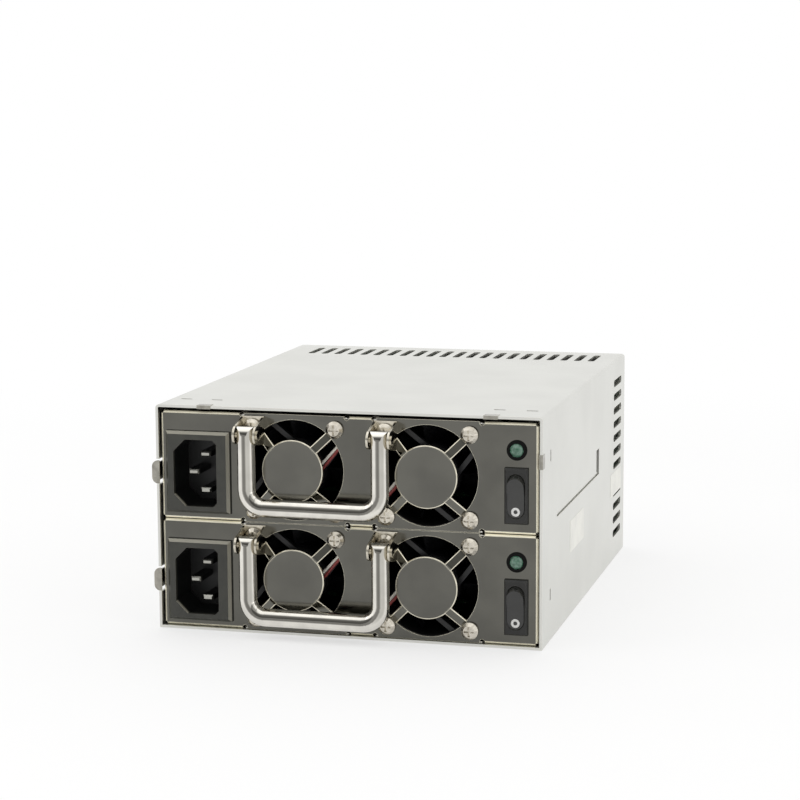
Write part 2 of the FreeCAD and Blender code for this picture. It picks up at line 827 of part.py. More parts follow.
def lid():
    """Module cover with a lip down inside each wall."""
    top = module_height
    s = module_sheet
    parts = [box(-tray_half, tray_half, tray_y, tray_rear, top - s, top)]
    for side in (-1, 1):
        x0, x1 = sorted((side * (tray_half - s), side * (tray_half - 2 * s)))
        parts.append(box(x0, x1, face_y + face_flange + 0.4, tray_rear - 2 * s, top - s - lid_lip, top))
    body = fuse_all(parts)
    return body.cut(Part.makeCompound(flange_clearances()))


def octagon(x, z, width, height, left, right):
    """Outline in X and Z with large chamfers on its left side and small ones on its right."""
    w, h = width / 2, height / 2
    return [
        (x - w, z - h + left), (x - w, z + h - left), (x - w + left, z + h), (x + w - right, z + h),
        (x + w, z + h - right), (x + w, z - h + right), (x + w - right, z - h), (x - w + left, z - h),
    ]


def inlet_outline(wall, y0, y1):
    x, z = inlet_x + cavity_shift_x, inlet_z + cavity_shift_z
    points = octagon(x, z, cavity_width + 2 * wall, cavity_height + 2 * wall,
                     cavity_chamfer_left + wall * 0.6, cavity_chamfer_right)
    return polygon_prism([(px, y0, pz) for px, pz in points], Vector(0, y1 - y0, 0))


def inlet_body():
    """Mains inlet: bevelled flange on the face, shell behind it, and the pin cavity."""
    w, h = inlet_width / 2, inlet_height / 2
    y0 = face_y - inlet_flange
    flange = box(inlet_x - w, inlet_x + w, y0, face_y, inlet_z - h, inlet_z + h)
    flange = flange.makeChamfer(inlet_bevel, [e for e in flange.Edges if e.BoundBox.YMax < y0 + tiny])
    shell = inlet_outline(inlet_wall, face_y - tiny, face_y + inlet_depth)
    cavity = inlet_outline(0, y0 - 1, y0 + cavity_depth)
    body = flange.fuse(shell).removeSplitter().cut(cavity)
    for x, z in pin_places():
        body = body.cut(pin_blade(x, z, y0 + cavity_depth - 1, face_y + inlet_depth + 1))
    return body


def pin_places():
    x, z = inlet_x + cavity_shift_x, inlet_z + cavity_shift_z
    return [(x + earth_offset, z), (x + line_offset, z - line_pitch), (x + line_offset, z + line_pitch)]


def pin_blade(x, z, y0, y1):
    w, h = blade_width / 2, blade_height / 2
    return box(x - w, x + w, y0, y1, z - h, z + h)


def inlet_pins():
    pins = []
    tip = face_y - inlet_flange + blade_setback
    for x, z in pin_places():
        pin = pin_blade(x, z, tip, face_y + inlet_depth + blade_tail)
        ends = [e for e in pin.Edges if e.BoundBox.YMax < tip + tiny]
        pins.append(pin.makeChamfer(blade_height * 0.25, ends))
    return Part.makeCompound(pins)


def led_holder():
    r = lamp_rim / 2
    rim = rod_y(r, lamp_x, face_y - lamp_rim_height, face_y, lamp_z)
    rim = rim.makeChamfer(lamp_rim_height * 0.5, [e for e in rim.Edges if e.BoundBox.YMax < face_y - tiny])
    sleeve = rod_y(lamp_sleeve / 2, lamp_x, face_y - tiny, face_y + lamp_sleeve_depth, lamp_z)
    bore = rod_y(lens_diameter / 2 + snug, lamp_x, face_y - 5, face_y + lamp_sleeve_depth + 1, lamp_z)
    return rim.fuse(sleeve).removeSplitter().cut(bore)


def led_lens():
    """Lens with a shallow dome that stands a little proud of its rim."""
    r = lens_diameter / 2
    base = face_y - lamp_rim_height * 0.6
    ball = (r * r + lens_dome * lens_dome) / (2 * lens_dome)
    dome = Part.makeSphere(ball, Vector(lamp_x, base + ball - lens_dome, lamp_z))
    dome = dome.common(rod_y(r, lamp_x, base - lens_dome - 1, base, lamp_z))
    stem = rod_y(r, lamp_x, base - tiny, face_y + lamp_sleeve_depth - 1, lamp_z)
    return dome.fuse(stem).removeSplitter()


def rocker_pivot_y():
    return face_y - bezel_proud + rocker_pivot_depth


def rocker_barrel(play):
    """Round-ended barrel about the rocker's axle; the rocker and its well are both cut from it."""
    half = rocker_width / 2 + play
    reach = rocker_radius + play
    y, z = rocker_pivot_y(), switch_z
    left, right = switch_x - half, switch_x + half
    edges = [
        Part.LineSegment(Vector(left, y, z), Vector(left, y, z + reach - half)).toShape(),
        Part.Arc(Vector(left, y, z + reach - half), Vector(switch_x, y, z + reach),
                 Vector(right, y, z + reach - half)).toShape(),
        Part.LineSegment(Vector(right, y, z + reach - half), Vector(right, y, z)).toShape(),
        Part.LineSegment(Vector(right, y, z), Vector(left, y, z)).toShape(),
    ]
    return Part.Face(Part.Wire(edges)).revolve(Vector(switch_x, y, z), Vector(1, 0, 0), 360)


def switch_body():
    """Bezel on the face, box behind it, and the well in which the rocker turns."""
    y0 = face_y - bezel_proud
    w, h = bezel_width / 2, bezel_height / 2
    bezel = box(switch_x - w, switch_x + w, y0, face_y, switch_z - h, switch_z + h)
    bezel = bezel.makeChamfer(bezel_bevel, [e for e in bezel.Edges if e.BoundBox.YMax < y0 + tiny])
    w, h = switch_width / 2, switch_height / 2
    rear_y = face_y + switch_depth
    case = box(switch_x - w, switch_x + w, face_y - tiny, rear_y, switch_z - h, switch_z + h)
    body = bezel.fuse(case).removeSplitter()
    y = rocker_pivot_y()
    body = body.cut(rocker_barrel(rocker_play))
    trunnions = rod_x(trunnion_radius + bearing_play, switch_x - w - 1, switch_x + w + 1, y, switch_z)
    body = body.cut(trunnions)
    tabs = []
    for s in (-1.25, 1.25):
        z = switch_z + s * switch_tab
        tabs.append(box(switch_x - module_sheet, switch_x + module_sheet, rear_y - tiny,
                        rear_y + switch_tab_length, z - switch_tab / 2, z + switch_tab / 2))
    return body.fuse(tabs).removeSplitter()


def switch_rocker():
    """Rocker in its off position: lower half flush, upper half standing out, ends round its axle."""
    depth = rocker_pivot_depth + rocker_proud
    reach = rocker_radius + 1
    lean = reach * math.tan(math.radians(rocker_throw))
    y, z = rocker_pivot_y(), switch_z
    x = switch_x - rocker_width
    outline = [(-depth, -reach), (-depth, 0), (-depth - lean, reach), (rocker_back, reach),
               (rocker_back, -reach)]
    prism = polygon_prism([(x, y + dy, z + dz) for dy, dz in outline], Vector(2 * rocker_width, 0, 0))
    body = rocker_barrel(0).common(prism)
    w = switch_width / 2
    axle = rod_x(trunnion_radius, switch_x - w + snug, switch_x + w - snug, y, z)
    return body.fuse(axle).removeSplitter()


def fan_frames():
    return Part.makeCompound([fan_frame(x, turn) for x, turn in zip(fan_centres, fan_turns)])


def fan_frame(x, turn):
    """Square fan frame with its motor plate at the front, held by four slanting struts."""
    h = fan_size / 2
    body = box(-h, h, 0, fan_depth, -h, h)
    body = body.makeFillet(fan_corner, [e for e in body.Edges if is_long_y(e)])
    waist = box(-h - 1, h + 1, fan_flange, fan_depth - fan_flange, -h - 1, h + 1)
    body = body.cut(waist.cut(rod_y(h, 0, 0, fan_depth, 0)))
    cuts = [rod_y(fan_bore / 2, 0, -1, fan_depth + 1, 0)]
    for sx in (-screw_offset, screw_offset):
        for sz in (-screw_offset, screw_offset):
            cuts.append(rod_y(fan_hole / 2, sx, -1, fan_depth + 1, sz))
    body = body.cut(cuts)
    s0, s1 = strut_setback, strut_setback + strut_depth
    plate = [rod_y(hub_radius, 0, s0, s1, 0)]
    start, end = strut_ends()
    for k in range(strut_count):
        strut = box(0, (end - start).Length, s0, s1, -strut_width / 2, strut_width / 2)
        strut.rotate(Vector(0, 0, 0), Vector(0, 1, 0), -strut_slope())
        strut.translate(start)
        strut.rotate(Vector(0, 0, 0), Vector(0, 1, 0), k * 360 / strut_count)
        plate.append(strut)
    bearing = shaft_radius + bearing_play + bearing_wall
    plate.append(rod_y(bearing, 0, s0, hub_start() - tray_y + hub_length - 4, 0))
    body = body.fuse(plate).removeSplitter()
    body = body.cut(rod_y(shaft_radius + bearing_play, 0, s0 + 1, fan_depth, 0))
    body = body.cut(lead_lane())
    body.rotate(Vector(0, 0, 0), Vector(0, 1, 0), turn)
    body.translate(Vector(x, tray_y, fan_z))
    return body


def round_point(radius, angle):
    """A point round a fan's axis, at an angle from its right side towards its top."""
    a = math.radians(angle)
    return Vector(radius * math.cos(a), 0, radius * math.sin(a))


def strut_ends():
    """Where the strut that carries the leads leaves the motor plate, and where it meets the frame."""
    return round_point(hub_radius - 1, lead_angle - strut_skew), round_point(fan_bore / 2 + 0.4, lead_angle)


def strut_slope():
    start, end = strut_ends()
    return math.degrees(math.atan2(end.z - start.z, end.x - start.x))


def hub_start():
    return tray_y + strut_setback + strut_depth + hub_gap


def lead_lane():
    """Notch in the frame's side through which the two leads leave."""
    half = lead_pitch / 2 + lead_radius + 0.3
    end = round_point(fan_bore / 2, lead_angle)
    return box(end.x - lead_lane_entry, fan_size / 2 + 1, -1, strut_setback + lead_radius,
               end.z - half, end.z + half)


def fan_rotor(x):
    """Cup hub on its shaft, with twisted blades between two helices."""
    y0 = hub_start()
    hub = rod_z(hub_radius, 0, 0, 0, hub_length)
    hub = hub.cut(rod_z(hub_radius - hub_wall, 0, 0, -1, hub_length - hub_wall))
    shaft = rod_z(shaft_radius, 0, 0, 2, hub_length - hub_wall / 2)
    blades = []
    tip = fan_bore / 2 - tip_gap
    root = hub_radius - hub_wall / 2
    pitch = blade_rise * 360 / blade_span
    start = (hub_length - blade_rise - blade_thickness) / 2
    for k in range(blade_count):
        inner = Part.makeHelix(pitch, blade_rise, root)
        outer = Part.makeHelix(pitch, blade_rise, tip)
        sheet = Part.makeRuledSurface(inner.Edges[0], outer.Edges[0])
        blade = sheet.extrude(Vector(0, 0, blade_thickness))
        blade = Part.Solid(blade.Shells[0]) if not blade.Solids else blade.Solids[0]
        if blade.Volume < 0:
            blade.reverse()
        blade.translate(Vector(0, 0, start))
        blade.rotate(Vector(0, 0, 0), Vector(0, 0, 1), k * 360 / blade_count)
        blades.append(blade)
    body = hub.fuse([shaft] + blades)
    body.rotate(Vector(0, 0, 0), Vector(1, 0, 0), -90)
    body.translate(Vector(x, y0, fan_z))
    return body


def fan_leads():
    """Two leads from each fan's motor plate, along a strut and back past the frame to the board."""
    wires = []
    for centre, turn in zip(fan_centres, fan_turns):
        axis = Vector(centre, tray_y + strut_setback - lead_radius, fan_z)
        spin = FreeCAD.Rotation(Vector(0, 1, 0), turn)
        start = round_point(hub_radius - 2, lead_angle - strut_skew)
        end = round_point(fan_bore / 2, lead_angle)
        board_y = y_at(board_start) + lead_landing
        for s in (-0.5, 0.5):
            aside = Vector(-s * lead_pitch, 0, s * lead_pitch)
            out = Vector(fan_size / 2 + lead_clear + (0.5 - s) * 2 * lead_pitch, 0, end.z + s * lead_pitch)
            points = [axis + spin.multVec(p) for p in (start + aside * 0.7, end + Vector(0, 0, aside.z), out)]
            last = points[-1]
            points.append(Vector(last.x, board_y, last.z))
            points.append(Vector(last.x, board_y, board_top))
            wires.append(bent_tube(points, lead_radius, lead_bend))
    return Part.makeCompound(wires)


def bent_tube(points, radius, bend):
    """A tube along straight runs joined by tangent arcs."""
    edges = []
    last = points[0]
    for before, corner, after in zip(points, points[1:], points[2:]):
        u = (before - corner).normalize()
        v = (after - corner).normalize()
        turn = math.pi - u.getAngle(v)
        cut = bend * math.tan(turn / 2)
        a, b = corner + u * cut, corner + v * cut
        middle = corner + (u + v).normalize() * (bend / math.cos(turn / 2) - bend)
        edges.append(Part.LineSegment(last, a).toShape())
        edges.append(Part.Arc(a, middle, b).toShape())
        last = b
    edges.append(Part.LineSegment(last, points[-1]).toShape())
    path = Part.Wire(edges)
    ring = Part.Wire(Part.Circle(points[0], points[1] - points[0], radius).toShape())
    return path.makePipeShell([ring], True, False, 0)


def fan_screws():
    """Eight pan heads; the two by the handle hold its brackets as well."""
    screws = []
    for centre in fan_centres:
        for sx in (-1, 1):
            for sz in (-1, 1):
                seat = face_y - ear_sheet if (sx, sz) == (-1, 1) else face_y
                place = Vector(centre + sx * screw_offset, seat, fan_z + sz * screw_offset)
                screws.append(pan_screw(place, fan_screw_head, fan_screw_head_height,
                                        fan_screw_shank, fan_screw_length, Vector(0, -1, 0)))
    return Part.makeCompound(screws)


def handle():
    """Bail handle: one bent rod, its two ends rounded round the pivot pins."""
    r = rod_diameter / 2
    x0, x1 = handle_legs
    points = [Vector(x0, pivot_y, pivot_z), Vector(x0, pivot_y, bar_z), Vector(x1, pivot_y, bar_z),
              Vector(x1, pivot_y, pivot_z)]
    rod = bent_tube(points, r, rod_bend)
    ends = []
    for x in handle_legs:
        end = rod_z(r, x, pivot_y, pivot_z - tiny, pivot_z + r)
        ends.append(end.common(rod_x(r, x - r, x + r, pivot_y, pivot_z)))
    body = rod.fuse(ends)
    for x in handle_legs:
        body = body.cut(rod_x(pin_diameter / 2 + pin_play, x - r - 1, x + r + 1, pivot_y, pivot_z))
    return body


def handle_brackets():
    """Clevis brackets: a base under the fan screw and two round-nosed ears."""
    brackets = []
    w = ear_gap / 2
    z0, z1 = pivot_z - bracket_drop, fan_z + screw_offset + bracket_rise
    for x in handle_legs:
        base = box(x - w - ear_sheet, x + w + ear_sheet, face_y - ear_sheet, face_y, z0, z1)
        parts = [base]
        for x0 in (x - w - ear_sheet, x + w):
            nose = rod_x(ear_radius, x0, x0 + ear_sheet, pivot_y, pivot_z)
            web = polygon_prism(
                [(x0, face_y, z0), (x0, pivot_y, pivot_z - ear_radius),
                 (x0, pivot_y, pivot_z + ear_radius), (x0, face_y, z1)],
                Vector(ear_sheet, 0, 0),
            )
            parts.extend([nose, web])
        body = fuse_all(parts)
        body = body.cut(rod_x(pin_diameter / 2, x - 2 * w, x + 2 * w, pivot_y, pivot_z))
        body = body.cut(rod_y(fan_hole / 2, x, face_y - 2, face_y + 1, fan_z + screw_offset))
        brackets.append(body)
    return Part.makeCompound(brackets)


def handle_pins():
    pins = []
    for x in handle_legs:
        w = ear_gap / 2 + ear_sheet
        pin = rod_x(pin_diameter / 2, x - w, x + w, pivot_y, pivot_z)
        heads = [
            rod_x(pin_head / 2, x - w - pin_head_height, x - w, pivot_y, pivot_z),
            rod_x(pin_head / 2, x + w, x + w + pin_head_height, pivot_y, pivot_z),
        ]
        pins.append(fuse_all([pin] + heads))
    return Part.makeCompound(pins)


def latch_spring():
    """Side latch: a leaf from its rivet to the hook, a step outwards and a round finger tab."""
    x1 = -tray_half - latch_lift
    x0 = x1 - latch_sheet
    out = -half_width + 0.05
    z0, z1 = latch_z - latch_height / 2, latch_z + latch_height / 2
    tail_y = y_at(latch_pivot) + latch_tail
    step1, step0 = y_at(latch_joggle), y_at(latch_joggle - latch_joggle_length)
    tab_y = front - latch_tab_stand
    leaf = [
        (x1, tail_y), (x1, step1), (out + latch_sheet, step0), (out + latch_sheet, tab_y),
        (out, tab_y), (out, step0), (x0, step1), (x0, tail_y),
    ]
    body = polygon_prism([(x, y, z0 + 1) for x, y in leaf], Vector(0, 0, latch_height - 2))
    tab_x = -half_width - latch_tab_proud
    tab = box(tab_x, tab_x + latch_tab_reach, tab_y - latch_sheet, tab_y, z0, z1)
    rounds = [e for e in tab.Edges if is_long_y(e) and e.BoundBox.XMax < tab_x + tiny]
    tab = tab.makeFillet(latch_tab_reach * 0.8, rounds)
    hook_y = y_at(latch_hook_depth)
    tip = -inner_half + latch_hook_clear
    hook = polygon_prism(
        [(x0 + tiny, hook_y, z0 + 2), (tip, hook_y, z0 + 2), (tip, hook_y + 1.2, z0 + 2),
         (x0 + tiny, hook_y + latch_hook_length, z0 + 2)],
        Vector(0, 0, latch_height - 4),
    )
    body = fuse_all([body, tab, hook])
    return body.cut(rod_x(latch_rivet + 0.15, x0 - 1, x1 + 1, y_at(latch_pivot), latch_z))


def main_board():
    """Module circuit board, with its card edge standing out through the rear wall."""
    board_rear = tray_rear - 2 * module_sheet
    body = box(-board_half, board_half, y_at(board_start), board_rear, board_z, board_top)
    edge = box(-edge_width / 2, edge_width / 2, board_rear - 1, edge_end, board_z, board_top)
    return body.fuse(edge).removeSplitter()


def bulk_can_x(place):
    return -board_half + board_part_inset + bulk_can / 2 + place * (bulk_can + bulk_can_gap)


def bulk_capacitors():
    """Two large cans behind the fans and a row of small ones at the output."""
    cans = []
    for k in (0, 1):
        y = y_at(board_start) + bulk_can_setback
        can = rod_z(bulk_can / 2, bulk_can_x(k), y, board_top, part_top)
        cans.append(can.makeChamfer(0.8, [e for e in can.Edges if e.BoundBox.ZMin > board_top + 1]))
    r = small_can / 2
    first = board_half - 2 * post_inset - r
    for k in range(small_can_count):
        x = first - k * (small_can + small_can_gap)
        cans.append(rod_z(r, x, tray_rear - small_can_row, board_top, board_top + small_can_height))
    return Part.makeCompound(cans)


def first_sink_x():
    return bulk_can_x(1) + bulk_can / 2 + sink_gap


def sink_span():
    """Front and rear ends of the plates, between the fans and the row of small cans."""
    return y_at(board_start) + sink_setback, tray_rear - small_can_row - small_can / 2 - sink_rear_gap


def transformer_x():
    return first_sink_x() + sink_reach + transformer_gap + transformer_width / 2


def transformer():
    """Ferrite core halves round a wound bobbin."""
    x, y = transformer_x(), sum(sink_span()) / 2
    w, l = transformer_width / 2, transformer_length / 2
    inner = w - transformer_leg
    z0 = board_top + 2
    z1 = part_top - transformer_crown
    core = box(x - w, x + w, y - l / 2, y + l / 2, z0, z1)
    window = box(x - inner, x + inner, y - l, y + l, z0 + transformer_yoke, z1 - transformer_yoke)
    coil = box(x - inner, x + inner, y - l, y + l, board_top, part_top)
    coil = coil.makeFillet(transformer_leg / 2, [e for e in coil.Edges if is_long_y(e)])
    return fuse_all([core.cut(window), coil])


def heatsinks():
    """Two finned plates that stand on the board along the airflow."""
    sinks = []
    y0, y1 = sink_span()
    pitch = (sink_top - board_top) / (sink_fins + 0.5)
    for x in (first_sink_x(), transformer_x() + transformer_width / 2 + sink_gap):
        plates = [box(x, x + sink_sheet, y0, y1, board_top, sink_top)]
        for k in range(sink_fins):
            z = board_top + (k + 1) * pitch
            plates.append(box(x, x + sink_reach, y0, y1, z, z + fin_thickness))
        sinks.append(fuse_all(plates))
    return Part.makeCompound(sinks)


def save(name, shape):
    shape.exportStep("parts/" + name + ".step")


cage_parts = {
    "cage_cover": cage_cover,
    "cage_base": cage_base,
    "mid_shelf": mid_shelf,
    "rear_panel": rear_panel,
    "cable_outlet_bushing": cable_outlet_bushing,
    "cage_screws": cage_screws,
    "backplane_board": backplane_board,
    "backplane_carrier": backplane_carrier,
    "backplane_sockets": backplane_sockets,
    "board_standoffs": board_standoffs,
    "distribution_board": distribution_board,
    "distribution_heatsink": distribution_heatsink,
    "distribution_capacitors": distribution_capacitors,
    "grounding_clips": grounding_clips,
}

module_parts = {
    "faceplate": faceplate,
    "tray": tray,
    "lid": lid,
    "inlet_body": inlet_body,
    "inlet_pins": inlet_pins,
    "led_holder": led_holder,
    "led_lens": led_lens,
    "switch_body": switch_body,
    "switch_rocker": switch_rocker,
    "fan_frames": fan_frames,
    "fan_screws": fan_screws,
    "fan_leads": fan_leads,
    "handle": handle,
    "handle_brackets": handle_brackets,
    "handle_pins": handle_pins,
    "latch_spring": latch_spring,
    "main_board": main_board,
    "bulk_capacitors": bulk_capacitors,
    "transformer": transformer,
    "heatsinks": heatsinks,
}

for name, make in cage_parts.items():
    save(name, make())

for name, make in module_parts.items():
    piece = make()
    save(name + "_lower", piece.translated(Vector(0, 0, lower_z)))
    save(name + "_upper", piece.translated(Vector(0, 0, upper_z)))

for side, x in zip(("left", "right"), fan_centres):
    rotor = fan_rotor(x)
    save("fan_rotor_" + side + "_lower", rotor.translated(Vector(0, 0, lower_z)))
    save("fan_rotor_" + side + "_upper", rotor.translated(Vector(0, 0, upper_z)))
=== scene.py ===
"""Studio scene of a redundant server power supply: one open steel cage with two hot swap modules."""
import math

import bmesh
import bpy
from mathutils import Matrix, Vector


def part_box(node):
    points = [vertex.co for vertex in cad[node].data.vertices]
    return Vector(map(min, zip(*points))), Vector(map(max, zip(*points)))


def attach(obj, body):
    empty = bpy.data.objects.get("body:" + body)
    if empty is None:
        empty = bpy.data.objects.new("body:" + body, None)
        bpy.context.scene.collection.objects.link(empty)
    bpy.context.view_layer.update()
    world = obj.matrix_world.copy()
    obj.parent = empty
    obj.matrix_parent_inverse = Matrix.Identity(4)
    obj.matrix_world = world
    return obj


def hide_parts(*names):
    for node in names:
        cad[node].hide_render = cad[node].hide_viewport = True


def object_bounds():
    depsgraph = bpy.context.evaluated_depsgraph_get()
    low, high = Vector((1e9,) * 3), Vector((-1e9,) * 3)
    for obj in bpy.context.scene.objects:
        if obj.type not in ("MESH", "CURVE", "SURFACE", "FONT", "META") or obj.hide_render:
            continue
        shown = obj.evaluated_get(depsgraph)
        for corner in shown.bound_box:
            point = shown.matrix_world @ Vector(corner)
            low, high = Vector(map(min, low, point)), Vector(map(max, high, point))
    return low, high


MM = 0.001
LEVELS = ("lower", "upper")

# Camera, fitted to the photograph in the part's own frame: metres, degrees and millimetres of lens
CAMERA_PLACE = (0.23272, -0.88790, 0.21618)
CAMERA_AZIMUTH = 14.883
CAMERA_ELEVATION = 8.592
CAMERA_ROLL = -0.311
CAMERA_LENS = 101.47
SENSOR_WIDTH = 36.0
CLIP_NEAR = 0.01
CLIP_FAR = 50.0

# Off mark printed on the lower half of each rocker, in millimetres
MARK_OUTER = 3.3
MARK_INNER = 1.5
MARK_BEVEL = 0.1
MARK_DROP = 5.7
MARK_THICKNESS = 0.03
MARK_GAP = 0.01
MARK_STEPS = 48

# Where the painted shade begins and is full, in millimetres behind the front of the inlet, the blades and
# the switch
CAVITY_SHADE = (0.9, 2.5)
BLADE_SHADE = (1.6, 2.5)
WELL_SHADE = (0.0, 1.4)

# Plain stickers on the right wall, in millimetres: the spans that each covers along Y and Z
STICKERS = {
    "vent_sticker": ((57.5, 84.0), (28.6, 38.4)),
    "wall_sticker": ((-37.0, -7.0), (25.0, 37.5)),
}
STICKER_CORNER = 1.0
STICKER_THICKNESS = 0.08
STICKER_STEPS = 6

# Fan guards, in millimetres: a disc pressed forward of the faceplate on four sloping spokes
GUARD_RIM = 19.2
GUARD_DISC = 12.0
GUARD_RISE = 3.0
GUARD_SHEET = 0.8
GUARD_ROUND = 0.5
ROUND_STEPS = 4
GUARD_STEPS = 96
SPOKES = 4
FIRST_SPOKE = 45.0
SPOKE_WIDTH = 3.6
# How far a spoke reaches under the disc and past the rim, and how far it lies behind the faceplate's front
SPOKE_ROOT = 0.8
SPOKE_END = 0.3
SPOKE_SINK = 0.03
SPOKE_STATIONS = 12

# The cut that takes the flat guard out, in millimetres: how far inside the rim, how deep, and the weld
GUARD_TRIM = 0.04
CUTTER_DEPTH = 4.0
WELD_DISTANCE = 0.002

# Materials of a pressed faceplate, by index, after the one of its flat sheet
DISC_SLOT = 1
# The rounded faces take a bright copy of the nickel, a painted highlight
ROUNDED_SLOT = 2
SPOKE_SLOT = 3

# Smooth shading: the widest angle between faces of one round, and the places that count as the same
SMOOTH_ANGLE = math.radians(32)
PLACES_PER_MM = 500

# Patterns: the span that noise really fills, and the cosines at which edges and bends begin and are full
NOISE_LOW = 0.3
NOISE_HIGH = 0.7
EDGE_START = 0.985
EDGE_FULL = 0.80
EDGE_SAMPLES = 6
BEND_START = 0.999
BEND_FULL = 0.95

# Sizes of the clouds and the grain in nickel and in plastic, in millimetres
NICKEL_CLOUDS = 18.0
NICKEL_GRAIN = 0.5
PLASTIC_CLOUDS = 5.0
PLASTIC_GRAIN = 0.25

# Painted highlight on the faceplate's bends, and its worn bright edges: the share of metal that they lose,
# and their roughness
HIGHLIGHT_AND_WEAR_LOSS = 0.6
HIGHLIGHT_AND_WEAR_ROUGH = 0.32

# Painted reflections of the room along the chrome rod, a dull band and a dark streak: the direction each
# faces, where it begins and is full, its strength and tone
ROD_REFLECTIONS = (
    ((0.38, -0.92, 0.15), 0.88, 0.97, 0.55, (150, 148, 140)),
    ((0.0, -0.97, 0.25), 0.925, 0.97, 0.85, (88, 86, 80)),
)

# Floor: metres, then the millimetres from the middle over which it fades to white, and the share near it
FLOOR_HALF = 60.0
FLOOR_GAP = 0.0002
FADE_START = 200.0
FADE_END = 620.0
FADE_NEAR = 0.6

# Room: grey levels by height, where it turns white behind the object, and the top of the low backdrop
ROOM_LEVELS = ((0.0, 0.12), (0.10, 0.16), (0.35, 0.45), (1.0, 0.75))
ROOM_BLUE = 0.98
BEHIND_START = -0.35
BEHIND_FULL = 0.45
BACKDROP_END = 0.16
BACKDROP_FULL = 0.10
WHITE = (1.0, 1.0, 1.0, 1.0)

# Softboxes: place, target and size in metres, and power in watts
SOFTBOXES = {
    "softbox_top": ((-0.25, -0.35, 1.35), (0.0, 0.0, 0.05), (2.4, 2.0), 8.2),
    "softbox_right": ((1.35, -0.30, 0.60), (0.0, 0.0, 0.04), (1.6, 1.4), 4.2),
    "softbox_left": ((-1.3, -0.55, 0.65), (0.0, 0.0, 0.04), (1.0, 1.0), 2.5),
}

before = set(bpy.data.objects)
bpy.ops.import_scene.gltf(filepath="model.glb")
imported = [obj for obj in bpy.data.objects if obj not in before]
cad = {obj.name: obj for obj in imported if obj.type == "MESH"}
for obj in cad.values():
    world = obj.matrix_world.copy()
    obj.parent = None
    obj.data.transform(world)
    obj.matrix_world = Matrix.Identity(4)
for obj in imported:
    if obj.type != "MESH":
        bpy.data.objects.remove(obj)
cad_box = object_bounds()


def tone(red, green, blue):
    """A colour as it looks on screen, 0 to 255, as the linear colour that nodes take."""
    linear = []
    for value in (red, green, blue):
        share = value / 255
        if share <= 0.04045:
            linear.append(share / 12.92)
        else:
            linear.append(((share + 0.055) / 1.055) ** 2.4)
    return (*linear, 1.0)


class Nodes:
    """Short ways to add the nodes of one tree and join them."""

    def __init__(self, tree):
        self.tree = tree

    def add(self, kind, **settings):
        node = self.tree.nodes.new(kind)
        for key, value in settings.items():
            setattr(node, key, value)
        return node

    def put(self, socket, value):
        """Links another node's output to the socket, or sets a plain value on it."""
        if isinstance(value, bpy.types.NodeSocket):
            self.tree.links.new(value, socket)
        else:
            socket.default_value = value

    def axis(self, name, vector):
        """One coordinate of a vector."""
        node = self.add("ShaderNodeSeparateXYZ")
        self.put(node.inputs[0], vector)
        return node.outputs[name]

    def math(self, operation, first, second=0.0):
        node = self.add("ShaderNodeMath", operation=operation)
        self.put(node.inputs[0], first)
        self.put(node.inputs[1], second)
        return node.outputs[0]

    def vector(self, operation, first, second=(0.0, 0.0, 0.0)):
        node = self.add("ShaderNodeVectorMath", operation=operation)
        self.put(node.inputs[0], first)
        self.put(node.inputs[1], second)
        return node.outputs["Value" if operation in ("DOT_PRODUCT", "LENGTH") else "Vector"]

    def remap(self, value, low, high, to_low=0.0, to_high=1.0, curve="SMOOTHSTEP"):
        node = self.add("ShaderNodeMapRange", interpolation_type=curve)
        for key, given in (("Value", value), ("From Min", low), ("From Max", high),
                           ("To Min", to_low), ("To Max", to_high)):
            self.put(node.inputs[key], given)
        return node.outputs["Result"]

    def mix(self, factor, first, second):
        """A blend of two colours. The node keeps them at sockets 6 and 7, and the result at 2."""
        node = self.add("ShaderNodeMix", data_type="RGBA")
        for index, value in ((0, factor), (6, first), (7, second)):
            self.put(node.inputs[index], value)
        return node.outputs[2]


